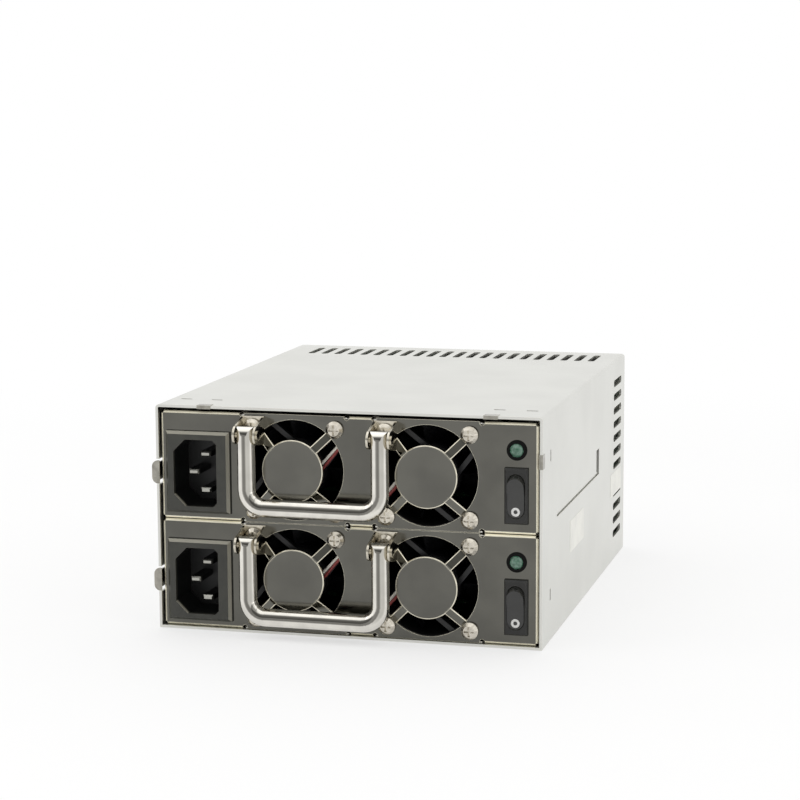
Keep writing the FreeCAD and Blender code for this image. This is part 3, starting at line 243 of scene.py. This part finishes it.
class Finish(Nodes):
    """One procedural material. Its patterns lie in object space, measured in millimetres."""

    def __init__(self, name, metallic=0.0):
        self.material = bpy.data.materials.new(name)
        self.material.use_nodes = True
        super().__init__(self.material.node_tree)
        self.surface = self.tree.nodes["Principled BSDF"]
        self.surface.inputs["Metallic"].default_value = metallic
        place = self.add("ShaderNodeTexCoord")
        self.place = self.vector("MULTIPLY", place.outputs["Object"], [1 / MM] * 3)
        self.direction = place.outputs["Normal"]

    def painted_shade_by_depth(self, node, shade):
        """Mask of painted shade: 0 at the front of a node of the modules and 1 deep in it, over a span
        behind its front.
        """
        low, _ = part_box(f"{node}_{LEVELS[0]}")
        start, full = (low.y / MM + behind for behind in shade)
        return self.remap(self.axis("Y", self.place), start, full)

    def noise(self, size, detail=3.0, stretch=(1.0, 1.0, 1.0)):
        """Cloudy noise from 0 to 1, with blotches of about that many millimetres."""
        node = self.add("ShaderNodeTexNoise")
        self.put(node.inputs["Vector"], self.vector("MULTIPLY", self.place, [s / size for s in stretch]))
        node.inputs["Scale"].default_value = 1.0
        node.inputs["Detail"].default_value = detail
        return node.outputs["Fac"]

    def cells(self, size):
        """Distance from the middles of random cells of about that many millimetres."""
        node = self.add("ShaderNodeTexVoronoi")
        self.put(node.inputs["Vector"], self.vector("MULTIPLY", self.place, [1 / size] * 3))
        node.inputs["Scale"].default_value = 1.0
        return node.outputs["Distance"]

    def spread(self, noise, low=0.0, high=1.0):
        """Stretches noise, which keeps near its middle, over a whole range."""
        return self.remap(noise, NOISE_LOW, NOISE_HIGH, low, high)

    def tint(self, noise, first, second):
        """A colour that wanders between two, as the noise does."""
        return self.mix(self.spread(noise), first, second)

    def edges(self, width):
        """1 along sharp edges and 0 away from them, over a width in millimetres."""
        bevel = self.add("ShaderNodeBevel", samples=EDGE_SAMPLES)
        bevel.inputs["Radius"].default_value = width * MM
        flat = self.add("ShaderNodeNewGeometry").outputs["Normal"]
        return self.remap(self.vector("DOT_PRODUCT", bevel.outputs["Normal"], flat), EDGE_START, EDGE_FULL)

    def bends(self):
        """1 on the round of a right-angled bend and 0 on the flats beside it."""
        size = self.vector("ABSOLUTE", self.direction)
        x, y, z = (self.axis(name, size) for name in "XYZ")
        widest = self.math("MAXIMUM", self.math("MAXIMUM", x, y), z)
        return self.remap(widest, BEND_START, BEND_FULL)

    def facing(self, direction, start, full):
        """1 where the surface faces a direction in object space, and 0 where it turns away from it."""
        toward = Vector(direction).normalized()
        return self.remap(self.vector("DOT_PRODUCT", self.direction, toward), start, full)

    def relief(self, height, distance, base=None):
        """Bump of that many millimetres, laid over another bump where one is given."""
        node = self.add("ShaderNodeBump")
        node.inputs["Distance"].default_value = distance * MM
        self.put(node.inputs["Height"], height)
        if base is not None:
            self.put(node.inputs["Normal"], base)
        return node.outputs["Normal"]

    def colour(self, value):
        self.put(self.surface.inputs["Base Color"], value)

    def gloss(self, value):
        self.put(self.surface.inputs["Roughness"], value)

    def normal(self, value):
        self.put(self.surface.inputs["Normal"], value)

    def grain(self, noise, rough, distance):
        """Uneven gloss, between two roughnesses, and a fine bump, both from one noise."""
        self.gloss(self.spread(noise, *rough))
        self.normal(self.relief(noise, distance))

    def coat(self, weight, roughness):
        self.surface.inputs["Coat Weight"].default_value = weight
        self.surface.inputs["Coat Roughness"].default_value = roughness


def sheet_finish(name, light, dark, rough, bright_edges, edge_width):
    """Rolled and plated sheet metal: faint clouds, fine rolling lines, uneven gloss and bright cut edges."""
    f = Finish(name, metallic=1.0)
    tones = f.tint(f.noise(30.0, detail=2.0), light, dark)
    f.colour(f.mix(f.edges(edge_width), tones, bright_edges))
    f.grain(f.noise(0.4, detail=2.0, stretch=(0.03, 1.0, 1.0)), rough, 0.0006)
    return f.material


def cage_steel():
    return sheet_finish("cage_steel", tone(221, 221, 216), tone(216, 216, 211), (0.36, 0.40),
                        tone(226, 224, 214), 0.4)


def module_steel():
    return sheet_finish("module_steel", tone(208, 208, 205), tone(200, 200, 198), (0.30, 0.38),
                        tone(245, 240, 225), 0.3)


def face_nickel():
    """Dark mirror nickel of the faceplates; bends carry a painted bright highlight and punched edges are
    worn bright.
    """
    f = Finish("face_nickel", metallic=1.0)
    clouds = f.noise(NICKEL_CLOUDS, detail=4.0)
    tones = f.tint(clouds, tone(103, 102, 96), tone(94, 93, 88))
    # Painted highlight: the bends are coloured bright cream, and so are the worn punched edges
    highlight_and_wear = f.math("MAXIMUM", f.bends(), f.edges(0.35))
    f.colour(f.mix(highlight_and_wear, tones, tone(250, 244, 222)))
    f.put(f.surface.inputs["Metallic"], f.math("SUBTRACT", 1.0, f.math("MULTIPLY", highlight_and_wear, HIGHLIGHT_AND_WEAR_LOSS)))
    f.gloss(f.math("MAXIMUM", f.spread(clouds, 0.11, 0.17), f.math("MULTIPLY", highlight_and_wear, HIGHLIGHT_AND_WEAR_ROUGH)))
    f.normal(f.relief(f.noise(NICKEL_GRAIN, detail=2.0), 0.0006))
    return f.material


def guard_nickel(name, light, dark):
    """The same dark nickel on the pressed middle of a fan guard."""
    f = Finish(name, metallic=1.0)
    clouds = f.noise(NICKEL_CLOUDS, detail=4.0)
    f.colour(f.mix(f.edges(0.3), f.tint(clouds, light, dark), tone(226, 220, 200)))
    f.gloss(f.spread(clouds, 0.10, 0.17))
    f.normal(f.relief(f.noise(NICKEL_GRAIN, detail=2.0), 0.0006))
    return f.material


def plated(name, light, dark, rough, bright_edges=None):
    """Small bright plated pieces, a little cloudy, with rubbed edges and a fine grain."""
    f = Finish(name, metallic=1.0)
    tones = f.tint(f.noise(3.0, detail=4.0), light, dark)
    f.colour(f.mix(f.edges(0.15), tones, bright_edges or light))
    f.grain(f.noise(0.25, detail=2.0), rough, 0.0012)
    return f.material


def handle_chrome():
    """Polished chrome rod with fine drawing lines, and painted reflections along its front: a dull band and
    a darker streak.
    """
    f = Finish("handle_chrome", metallic=1.0)
    tones = f.tint(f.noise(6.0, detail=4.0), tone(232, 229, 221), tone(218, 215, 208))
    # Painted reflection: bands of the dark room, chosen by the way the rod faces
    for direction, start, full, strength, shade in ROD_REFLECTIONS:
        painted_reflection = f.math("MULTIPLY", f.facing(direction, start, full), strength)
        tones = f.mix(painted_reflection, tones, tone(*shade))
    f.colour(tones)
    f.grain(f.noise(0.3, detail=2.0, stretch=(1.0, 1.0, 0.2)), (0.07, 0.13), 0.0008)
    return f.material


def moulded(name, base, lifted, rough):
    """Moulded plastic with a fine eroded grain and slightly lighter corners."""
    f = Finish(name)
    f.colour(f.mix(f.edges(0.2), f.tint(f.noise(PLASTIC_CLOUDS), base, lifted), lifted))
    f.grain(f.noise(PLASTIC_GRAIN, detail=2.0), rough, 0.006)
    return f.material


def inlet_plastic():
    """Black moulding of the mains inlet: a painted highlight on its edges, strongest on the upper and right
    bevels, and painted shade in the cavity.
    """
    f = Finish("inlet_plastic")
    tones = f.tint(f.noise(PLASTIC_CLOUDS), tone(52, 52, 47), tone(60, 60, 54))
    # Painted highlight on the bevels that face up and to the right, and fainter on all edges
    painted_highlight = f.math("MULTIPLY", f.bends(), f.facing((0.5, -0.2, 0.85), 0.25, 0.55))
    bright_edges = f.math("MAXIMUM", f.math("MULTIPLY", f.edges(0.2), 0.35), painted_highlight)
    tones = f.mix(bright_edges, tones, tone(158, 155, 142))
    # Painted shade: the cavity goes near black with depth
    f.colour(f.mix(f.painted_shade_by_depth("inlet_body", CAVITY_SHADE), tones, tone(7, 7, 7)))
    f.grain(f.noise(PLASTIC_GRAIN, detail=2.0), (0.36, 0.5), 0.005)
    return f.material


def pin_metal():
    """Plated blades of the inlet, bright at their tips, with painted shade darkening them down in the
    cavity.
    """
    f = Finish("pin_metal", metallic=1.0)
    fine = f.noise(0.25, detail=2.0)
    # Painted shade: the blades go dark with depth in the cavity
    tones = f.mix(f.painted_shade_by_depth("inlet_pins", BLADE_SHADE), tone(176, 175, 168), tone(18, 18, 17))
    f.colour(f.mix(f.spread(fine, 0.0, 0.2), tones, tone(60, 60, 58)))
    f.grain(fine, (0.2, 0.3), 0.0012)
    return f.material


def well_plastic(name, base, lifted, rough, painted_edge_tone, edge_width):
    """Black plastic of the switch, with painted shade darker the deeper it lies in the well, and edges of a
    painted tone, still open to a coat.
    """
    f = Finish(name)
    tones = f.mix(f.edges(edge_width), f.tint(f.noise(PLASTIC_CLOUDS), base, lifted), painted_edge_tone)
    # Painted shade in the well of the switch
    f.colour(f.mix(f.painted_shade_by_depth("switch_body", WELL_SHADE), tones, tone(6, 6, 6)))
    f.grain(f.noise(PLASTIC_GRAIN, detail=2.0), rough, 0.003)
    return f


def switch_plastic():
    # The bezel's edges are painted lighter, a painted highlight
    return well_plastic("switch_plastic", tone(24, 24, 22), tone(32, 32, 30), (0.38, 0.52),
                        tone(84, 84, 78), 0.2).material


def rocker_plastic():
    """Glossy rocker, with painted shade darkening its round edges."""
    f = well_plastic("rocker_plastic", tone(30, 30, 28), tone(38, 38, 36), (0.12, 0.2), tone(9, 9, 9), 0.7)
    f.coat(0.4, 0.08)
    return f.material


def lamp_rim():
    """Black plastic clip round the lamp, fully matt."""
    f = Finish("lamp_rim")
    fine = f.noise(0.3)
    f.colour(f.tint(fine, tone(7, 7, 7), tone(14, 14, 13)))
    f.grain(fine, (0.6, 0.8), 0.004)
    f.surface.inputs["Specular IOR Level"].default_value = 0.15
    return f.material


def lamp_lens():
    """Green tinted lens, a little uneven, with a dimpled face."""
    f = Finish("lamp_lens")
    clouds = f.noise(1.6, detail=2.0)
    f.colour(f.mix(f.remap(clouds, 0.35, 0.65), tone(62, 112, 88), tone(112, 152, 132)))
    f.gloss(f.spread(clouds, 0.10, 0.18))
    f.normal(f.relief(f.cells(0.7), 0.02))
    f.surface.inputs["Transmission Weight"].default_value = 0.25
    f.surface.inputs["IOR"].default_value = 1.5
    f.coat(0.6, 0.05)
    return f.material


def circuit_board():
    """Green solder mask over copper tracks, with round pads."""
    f = Finish("circuit_board")
    weave = f.noise(0.4, detail=2.0)
    bricks = f.add("ShaderNodeTexBrick")
    rows_per_mm = 0.12
    f.put(bricks.inputs["Vector"], f.vector("MULTIPLY", f.place, [rows_per_mm] * 3))
    bricks.inputs["Scale"].default_value = 1.0
    bricks.inputs["Mortar Size"].default_value = 0.03
    bricks.inputs["Mortar Smooth"].default_value = 0.1
    tracks = bricks.outputs["Fac"]
    mask = f.mix(weave, tone(24, 86, 50), tone(33, 104, 62))
    copper = f.mix(tracks, mask, tone(58, 132, 80))
    pads = f.remap(f.cells(3.6), 0.17, 0.14)
    f.colour(f.mix(pads, copper, tone(196, 194, 186)))
    f.gloss(f.spread(weave, 0.25, 0.45))
    f.normal(f.relief(tracks, 0.03))
    return f.material


def ferrite():
    """Grey sintered core with patches of yellow winding tape."""
    f = Finish("ferrite")
    grit = f.noise(0.4, detail=4.0)
    body = f.mix(grit, tone(52, 52, 54), tone(70, 70, 72))
    taped = f.remap(f.cells(9.0), 0.45, 0.4)
    f.colour(f.mix(taped, body, tone(196, 160, 60)))
    f.grain(grit, (0.45, 0.7), 0.03)
    return f.material


def can_sleeve():
    """Shrunk dark sleeve of the capacitors, slightly wavy."""
    f = Finish("can_sleeve")
    clouds = f.noise(4.0)
    f.colour(f.mix(clouds, tone(26, 30, 44), tone(38, 44, 62)))
    f.gloss(f.spread(f.noise(0.3), 0.28, 0.42))
    f.normal(f.relief(clouds, 0.05))
    return f.material


def lead_sleeve(name, light, dark):
    """Insulation of a fan lead, smooth and slightly dusty."""
    f = Finish(name)
    fine = f.noise(0.4)
    f.colour(f.tint(fine, light, dark))
    f.grain(fine, (0.32, 0.5), 0.01)
    return f.material


def sticker_paper():
    """Matt coated paper with fine fibres, laid a little unevenly."""
    f = Finish("sticker_paper")
    fibres = f.noise(0.6, detail=5.0)
    clouds = f.noise(9.0)
    f.colour(f.tint(clouds, tone(238, 237, 230), tone(228, 227, 221)))
    f.gloss(f.spread(fibres, 0.45, 0.6))
    f.normal(f.relief(clouds, 0.05, f.relief(fibres, 0.004)))
    return f.material


def mark_paint():
    """Printed white paint, faintly mottled."""
    f = Finish("mark_paint")
    fine = f.noise(0.3, detail=4.0)
    f.colour(f.tint(fine, tone(236, 236, 234), tone(212, 212, 210)))
    f.grain(fine, (0.4, 0.55), 0.004)
    return f.material


def finishes():
    """Every material slot of the part, by name."""
    return {
        "cage_steel": cage_steel(),
        "module_steel": module_steel(),
        "face_nickel": face_nickel(),
        "handle_chrome": handle_chrome(),
        "bracket_nickel": plated("bracket_nickel", tone(214, 208, 194), tone(190, 184, 170),
                                 (0.16, 0.24), tone(250, 244, 226)),
        "screw_nickel": plated("screw_nickel", tone(216, 210, 198), tone(186, 180, 168),
                               (0.18, 0.28), tone(250, 246, 232)),
        "spring_steel": plated("spring_steel", tone(166, 163, 154), tone(140, 137, 129),
                               (0.18, 0.26), tone(222, 218, 204)),
        "pin_metal": pin_metal(),
        "sink_aluminium": plated("sink_aluminium", tone(196, 197, 200), tone(178, 179, 183), (0.3, 0.45)),
        "standoff_brass": plated("standoff_brass", tone(206, 176, 104), tone(184, 152, 84), (0.2, 0.32)),
        "inlet_plastic": inlet_plastic(),
        "lamp_rim": lamp_rim(),
        "switch_plastic": switch_plastic(),
        "rocker_plastic": rocker_plastic(),
        "fan_plastic": moulded("fan_plastic", tone(15, 15, 16), tone(22, 22, 23), (0.35, 0.5)),
        "rotor_plastic": moulded("rotor_plastic", tone(16, 16, 18), tone(24, 24, 27), (0.25, 0.4)),
        "socket_plastic": moulded("socket_plastic", tone(36, 36, 38), tone(48, 48, 50), (0.4, 0.55)),
        "bushing_plastic": moulded("bushing_plastic", tone(26, 26, 27), tone(38, 38, 38), (0.35, 0.5)),
        "lamp_lens": lamp_lens(),
        "lead_sleeve": lead_sleeve("lead_white", tone(228, 224, 214), tone(208, 203, 193)),
        "circuit_board": circuit_board(),
        "can_sleeve": can_sleeve(),
        "ferrite": ferrite(),
    }


def spot(point):
    """A place in whole steps of two microns, the same for every vertex that lies there."""
    return tuple(round(c / MM * PLACES_PER_MM) for c in point)


def round_normals(obj):
    """Shades the round faces of a tessellated solid smoothly. Every vertex stays where it is."""
    mesh = obj.data
    around = {}
    for face in mesh.polygons:
        face.use_smooth = True
        for index in face.vertices:
            around.setdefault(spot(mesh.vertices[index].co), []).append(face)
    limit = math.cos(SMOOTH_ANGLE)
    normals = [None] * len(mesh.loops)
    for face in mesh.polygons:
        for loop in face.loop_indices:
            co = mesh.vertices[mesh.loops[loop].vertex_index].co
            total = Vector()
            for other in around[spot(co)]:
                if face.normal.dot(other.normal) > limit:
                    total += other.normal * other.area
            normals[loop] = total.normalized() if total.length else face.normal
    mesh.normals_split_custom_set(normals)


def dress_nodes():
    """Gives each solid of the part its finish and smooth rounds."""
    made = finishes()
    for obj in cad.values():
        slots = [m.name.split(".")[0] for m in obj.data.materials if m]
        known = [slot for slot in slots if slot in made]
        if known:
            obj.data.materials.clear()
            obj.data.materials.append(made[known[0]])
        round_normals(obj)


def separate_solids(mesh):
    """The faces of a mesh in groups, one for each solid in it."""
    at = {}
    for face in mesh.polygons:
        for index in face.vertices:
            at.setdefault(spot(mesh.vertices[index].co), []).append(face.index)
    neighbours = {}
    for touching in at.values():
        for index in touching:
            neighbours.setdefault(index, set()).update(touching)
    groups = []
    left = set(neighbours)
    while left:
        group = set()
        queue = [left.pop()]
        while queue:
            index = queue.pop()
            group.add(index)
            found = neighbours[index] & left
            left -= found
            queue.extend(found)
        groups.append([mesh.polygons[i] for i in group])
    return groups


def colour_leads(level, red):
    """Of each fan's two leads, the lower one is red."""
    mesh = cad[f"fan_leads_{level}"].data
    mesh.materials.append(red)
    leads = sorted(separate_solids(mesh), key=lambda faces: min(f.center.x for f in faces))
    for pair in (leads[:2], leads[2:]):
        lower = min(pair, key=lambda faces: max(f.center.z for f in faces))
        for face in lower:
            face.material_index = 1


def linked(name, data):
    """A new object of a mesh, lamp or camera, linked to the scene."""
    obj = bpy.data.objects.new(name, data)
    bpy.context.scene.collection.objects.link(obj)
    return obj


def mesh_piece(name, points, faces, material, body):
    """A new mesh piece in the part's frame, riding on one of its bodies."""
    mesh = bpy.data.meshes.new(name)
    mesh.from_pydata([Vector(p) * MM for p in points], [], faces)
    mesh.update()
    mesh.materials.append(material)
    obj = linked(name, mesh)
    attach(obj, body)


def circle(steps):
    """Cosine and sine at even steps round a circle."""
    angles = [2 * math.pi * i / steps for i in range(steps)]
    return [(math.cos(a), math.sin(a)) for a in angles]


def lathe(bm, axis, profile):
    """Turns a profile of (radius, depth, material) round a fan's axis. It starts and ends in the middle."""
    x, y, z = axis
    rings = []
    for radius, depth, _ in profile[1:-1]:
        places = [(x + radius * c, y + depth, z + radius * s) for c, s in circle(GUARD_STEPS)]
        rings.append([bm.verts.new(Vector(place) * MM) for place in places])
    for inner, outer, (_, _, material) in zip(rings, rings[1:], profile[2:]):
        for i in range(GUARD_STEPS):
            j = (i + 1) % GUARD_STEPS
            bm.faces.new((inner[i], inner[j], outer[j], outer[i])).material_index = material
    bm.faces.new(reversed(rings[0])).material_index = profile[1][2]
    bm.faces.new(rings[-1]).material_index = profile[-1][2]


def round_edge():
    """A quarter round of a pressed edge: how far in from the side, and how far behind the front."""
    angles = [math.pi / 2 * i / ROUND_STEPS for i in range(ROUND_STEPS + 1)]
    return [(GUARD_ROUND * (1 - math.sin(a)), GUARD_ROUND * (1 - math.cos(a))) for a in angles]


def guard_disc(bm, axis):
    """The raised middle of a guard, flat with a pressed edge."""
    front = -GUARD_RISE
    back = front + GUARD_SHEET
    profile = [(0.0, front, DISC_SLOT), (GUARD_DISC - GUARD_ROUND, front, DISC_SLOT)]
    profile += [(GUARD_DISC - inset, front + behind, ROUNDED_SLOT) for inset, behind in round_edge()[1:]]
    profile += [(GUARD_DISC, back, DISC_SLOT), (0.0, back, DISC_SLOT)]
    lathe(bm, axis, profile)


def guard_spoke(bm, axis, angle):
    """One spoke, a strip with pressed edges that slopes from under the disc back to the faceplate."""
    x, y, z = axis
    half = SPOKE_WIDTH / 2
    left = [(-half + inset, behind) for inset, behind in reversed(round_edge())]
    right = [(half - inset, behind) for inset, behind in round_edge()]
    section = [(-half, GUARD_SHEET)] + left + right + [(half, GUARD_SHEET)]
    rings = []
    start = GUARD_DISC - SPOKE_ROOT
    end = GUARD_RIM + SPOKE_END
    for station in range(SPOKE_STATIONS + 1):
        along = start + (end - start) * station / SPOKE_STATIONS
        share = min(max((along - GUARD_DISC) / (GUARD_RIM - GUARD_DISC), 0.0), 1.0)
        depth = SPOKE_SINK - GUARD_RISE * (1 - share)
        ring = []
        for across, behind in section:
            px = x + along * math.cos(angle) - across * math.sin(angle)
            pz = z + along * math.sin(angle) + across * math.cos(angle)
            ring.append(bm.verts.new(Vector((px, y + depth + behind, pz)) * MM))
        rings.append(ring)
    count = len(section)
    for near, far in zip(rings, rings[1:]):
        for i in range(count):
            j = (i + 1) % count
            face = bm.faces.new((near[i], near[j], far[j], far[i]))
            rounded = 0 < i < len(left) or len(left) < i < count - 2
            face.material_index = ROUNDED_SLOT if rounded else SPOKE_SLOT
    bm.faces.new(reversed(rings[0])).material_index = SPOKE_SLOT
    bm.faces.new(rings[-1]).material_index = SPOKE_SLOT


def fan_axes(level):
    """Where each fan's axis passes through the front of the faceplate, in millimetres."""
    low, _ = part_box(f"tray_{level}")
    for side in ("left", "right"):
        near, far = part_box(f"fan_rotor_{side}_{level}")
        yield (near.x + far.x) / 2 / MM, low.y / MM - GUARD_SHEET, (near.z + far.z) / 2 / MM


def guard_cutter(axis):
    """A disc that fills the opening of a flat guard, just inside its rim."""
    radius = (GUARD_RIM - GUARD_TRIM) * MM
    around = Matrix.Translation(Vector(axis) * MM) @ Matrix.Rotation(math.pi / 2, 4, "X")
    bm = bmesh.new()
    bmesh.ops.create_cone(bm, cap_ends=True, segments=GUARD_STEPS * 2, radius1=radius, radius2=radius,
                          depth=CUTTER_DEPTH * MM, matrix=around)
    mesh = bpy.data.meshes.new("cutter")
    bm.to_mesh(mesh)
    bm.free()
    return linked("cutter", mesh)


def clear_openings(mesh, axes):
    """Takes the flat middle of each guard out of a faceplate's mesh."""
    bm = bmesh.new()
    bm.from_mesh(mesh)
    bmesh.ops.remove_doubles(bm, verts=bm.verts, dist=WELD_DISTANCE * MM)
    bm.to_mesh(mesh)
    bm.free()
    plate = linked("plate", mesh)
    cutters = [guard_cutter(axis) for axis in axes]
    for cutter in cutters:
        cut = plate.modifiers.new("cut", "BOOLEAN")
        cut.operation = "DIFFERENCE"
        cut.solver = "EXACT"
        cut.object = cutter
    made = bpy.data.meshes.new_from_object(plate.evaluated_get(bpy.context.evaluated_depsgraph_get()))
    for obj in cutters + [plate]:
        bpy.data.objects.remove(obj)
    return made


def pressed_face(level, pressed):
    """The faceplate with raised fan guards, in place of the solid with flat ones."""
    solid = cad[f"faceplate_{level}"]
    axes = list(fan_axes(level))
    mesh = clear_openings(solid.data.copy(), axes)
    mesh.materials.clear()
    for material in (solid.data.materials[0], *pressed):
        mesh.materials.append(material)
    bm = bmesh.new()
    bm.from_mesh(mesh)
    for axis in axes:
        guard_disc(bm, axis)
        for i in range(SPOKES):
            guard_spoke(bm, axis, math.radians(FIRST_SPOKE + 360 * i / SPOKES))
    bmesh.ops.recalc_face_normals(bm, faces=bm.faces)
    bm.to_mesh(mesh)
    bm.free()
    obj = linked(f"pressed_face_{level}", mesh)
    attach(obj, f"module_{level}")
    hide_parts(f"faceplate_{level}")
    round_normals(obj)


def rocker_front(level, x, z):
    """Where the rocker's lower half stands at a point, in millimetres along the depth."""
    start = Vector((x * MM, cad_box[0].y, z * MM))
    _, place, _, _ = cad[f"switch_rocker_{level}"].ray_cast(start, Vector((0, 1, 0)))
    return place.y / MM


def ring_mark(level, material):
    """Off ring printed on the lower half of a rocker, which is level with the mark at rest."""
    low, high = (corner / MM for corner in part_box(f"switch_body_{level}"))
    x = (low.x + high.x) / 2
    z = (low.z + high.z) / 2 - MARK_DROP
    front = rocker_front(level, x, z) - MARK_GAP
    inner = MARK_INNER / 2
    outer = MARK_OUTER / 2
    profile = ((inner, 0.0), (inner + MARK_BEVEL, MARK_THICKNESS),
               (outer - MARK_BEVEL, MARK_THICKNESS), (outer, 0.0))
    points = []
    for radius, proud in profile:
        points += [(x + radius * c, front - proud, z + radius * s) for c, s in circle(MARK_STEPS)]
    faces = []
    for ring in range(len(profile)):
        near = ring * MARK_STEPS
        far = (ring + 1) % len(profile) * MARK_STEPS
        for i in range(MARK_STEPS):
            j = (i + 1) % MARK_STEPS
            faces.append((near + i, near + j, far + j, far + i))
    mesh_piece(f"off_mark_{level}", points, faces, material, f"rocker_{level}")


def plain_sticker(name, span_y, span_z, material):
    """Bare sticker on the right wall, with round corners."""
    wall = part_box("rear_panel")[1].x / MM
    y0, y1 = span_y
    z0, z1 = span_z
    outline = []
    for corner_y, corner_z, start in ((y1, z1, 0), (y0, z1, 90), (y0, z0, 180), (y1, z0, 270)):
        my = corner_y - math.copysign(STICKER_CORNER, corner_y - (y0 + y1) / 2)
        mz = corner_z - math.copysign(STICKER_CORNER, corner_z - (z0 + z1) / 2)
        for step in range(STICKER_STEPS + 1):
            a = math.radians(start + step * 90 / STICKER_STEPS)
            outline.append((my + STICKER_CORNER * math.cos(a), mz + STICKER_CORNER * math.sin(a)))
    count = len(outline)
    points = [(x, y, z) for x in (wall, wall + STICKER_THICKNESS) for y, z in outline]
    sides = [(i, (i + 1) % count, count + (i + 1) % count, count + i) for i in range(count)]
    faces = [tuple(reversed(range(count))), tuple(range(count, 2 * count))] + sides
    mesh_piece(name, points, faces, material, "cage")


def add_pieces():
    """The pieces that the solids don't have: raised guards, red leads, off marks and stickers."""
    paint = mark_paint()
    red_lead = lead_sleeve("lead_red", tone(150, 62, 58), tone(124, 46, 44))
    pressed = (
        guard_nickel("guard_disc_nickel", tone(105, 104, 98), tone(96, 95, 90)),
        # Painted highlight: the pressed rounds of the guards are the same nickel, coloured bright cream
        plated("guard_round_painted_highlight", tone(236, 230, 212), tone(214, 208, 190), (0.14, 0.22)),
        # The spokes are a lighter copy of the disc's nickel, painted as lit where they slope
        guard_nickel("guard_spoke_painted_lighter", tone(112, 111, 104), tone(104, 103, 97)),
    )
    for level in LEVELS:
        pressed_face(level, pressed)
        colour_leads(level, red_lead)
        ring_mark(level, paint)
    paper = sticker_paper()
    for name, (span_y, span_z) in STICKERS.items():
        plain_sticker(name, span_y, span_z, paper)


def floor():
    """Plain pale studio floor."""
    low, _ = cad_box
    z = low.z - FLOOR_GAP
    h = FLOOR_HALF
    mesh = bpy.data.meshes.new("studio_floor")
    mesh.from_pydata([(-h, -h, z), (h, -h, z), (h, h, z), (-h, h, z)], [], [(0, 1, 2, 3)])
    f = Finish("floor_paper")
    clouds = f.noise(60.0)
    f.colour(f.mix(clouds, tone(246, 246, 246), tone(243, 243, 243)))
    f.gloss(f.spread(clouds, 0.75, 0.85))
    f.surface.inputs["Specular IOR Level"].default_value = 0.1
    fade_to_white(f)
    mesh.materials.append(f.material)
    obj = linked("studio_floor", mesh)


def fade_to_white(f):
    """Away from the object the floor shows as plain white, and near it the floor keeps the shadow."""
    far = f.remap(f.vector("LENGTH", f.place), FADE_START, FADE_END, FADE_NEAR, 1.0)
    path = f.add("ShaderNodeLightPath").outputs
    seen = f.math("MAXIMUM", path["Is Camera Ray"], path["Is Glossy Ray"])
    seen = f.math("MAXIMUM", seen, path["Is Transmission Ray"])
    blend = f.add("ShaderNodeMixShader")
    f.put(blend.inputs[0], f.math("MULTIPLY", far, seen))
    f.put(blend.inputs[1], f.surface.outputs[0])
    f.put(blend.inputs[2], f.add("ShaderNodeEmission").outputs[0])
    f.put(f.tree.nodes["Material Output"].inputs["Surface"], blend.outputs[0])


def studio_world():
    """Pale room with a white back wall and a low white backdrop. Seen directly, all of it is white."""
    world = bpy.data.worlds.new("studio_world")
    bpy.context.scene.world = world
    world.use_nodes = True
    w = Nodes(world.node_tree)
    place = w.add("ShaderNodeTexCoord").outputs["Generated"]
    height = w.axis("Z", place)
    levels = w.add("ShaderNodeValToRGB")
    w.put(levels.inputs["Fac"], height)
    stops = levels.color_ramp.elements
    while len(stops) < len(ROOM_LEVELS):
        stops.new(0.5)
    for stop, (position, grey) in zip(stops, ROOM_LEVELS):
        stop.position = position
        stop.color = (grey, grey, grey * ROOM_BLUE, 1.0)
    behind = w.remap(w.axis("Y", place), BEHIND_START, BEHIND_FULL)
    room = w.mix(behind, levels.outputs["Color"], WHITE)
    path = w.add("ShaderNodeLightPath").outputs
    mirrored = w.math("MAXIMUM", path["Is Glossy Ray"], path["Is Transmission Ray"])
    backdrop = w.remap(height, BACKDROP_END, BACKDROP_FULL, curve="LINEAR")
    white = w.math("MAXIMUM", path["Is Camera Ray"], w.math("MULTIPLY", mirrored, backdrop))
    w.put(w.tree.nodes["Background"].inputs["Color"], w.mix(white, room, WHITE))


def softbox(name, place, target, size, watts):
    """Rectangular soft lamp turned towards its target."""
    lamp = bpy.data.lights.new(name, "AREA")
    lamp.shape = "RECTANGLE"
    lamp.size, lamp.size_y = size
    lamp.energy = watts
    obj = linked(name, lamp)
    obj.location = place
    obj.rotation_euler = (Vector(target) - Vector(place)).to_track_quat("-Z", "Y").to_euler()


def camera():
    """The photograph's camera."""
    data = bpy.data.cameras.new("camera")
    data.lens = CAMERA_LENS
    data.sensor_width = SENSOR_WIDTH
    data.clip_start = CLIP_NEAR
    data.clip_end = CLIP_FAR
    obj = linked("camera", data)
    turn = Matrix.Rotation(math.radians(CAMERA_AZIMUTH), 4, "Z")
    tilt = Matrix.Rotation(math.radians(90 - CAMERA_ELEVATION), 4, "X")
    roll = Matrix.Rotation(math.radians(CAMERA_ROLL), 4, "Z")
    obj.matrix_world = Matrix.Translation(CAMERA_PLACE) @ turn @ tilt @ roll
    bpy.context.scene.camera = obj


def studio():
    """Floor, room, lamps and camera."""
    bpy.context.scene.view_settings.view_transform = "Standard"
    floor()
    studio_world()
    for name, settings in SOFTBOXES.items():
        softbox(name, *settings)
    camera()


dress_nodes()
add_pieces()
studio()
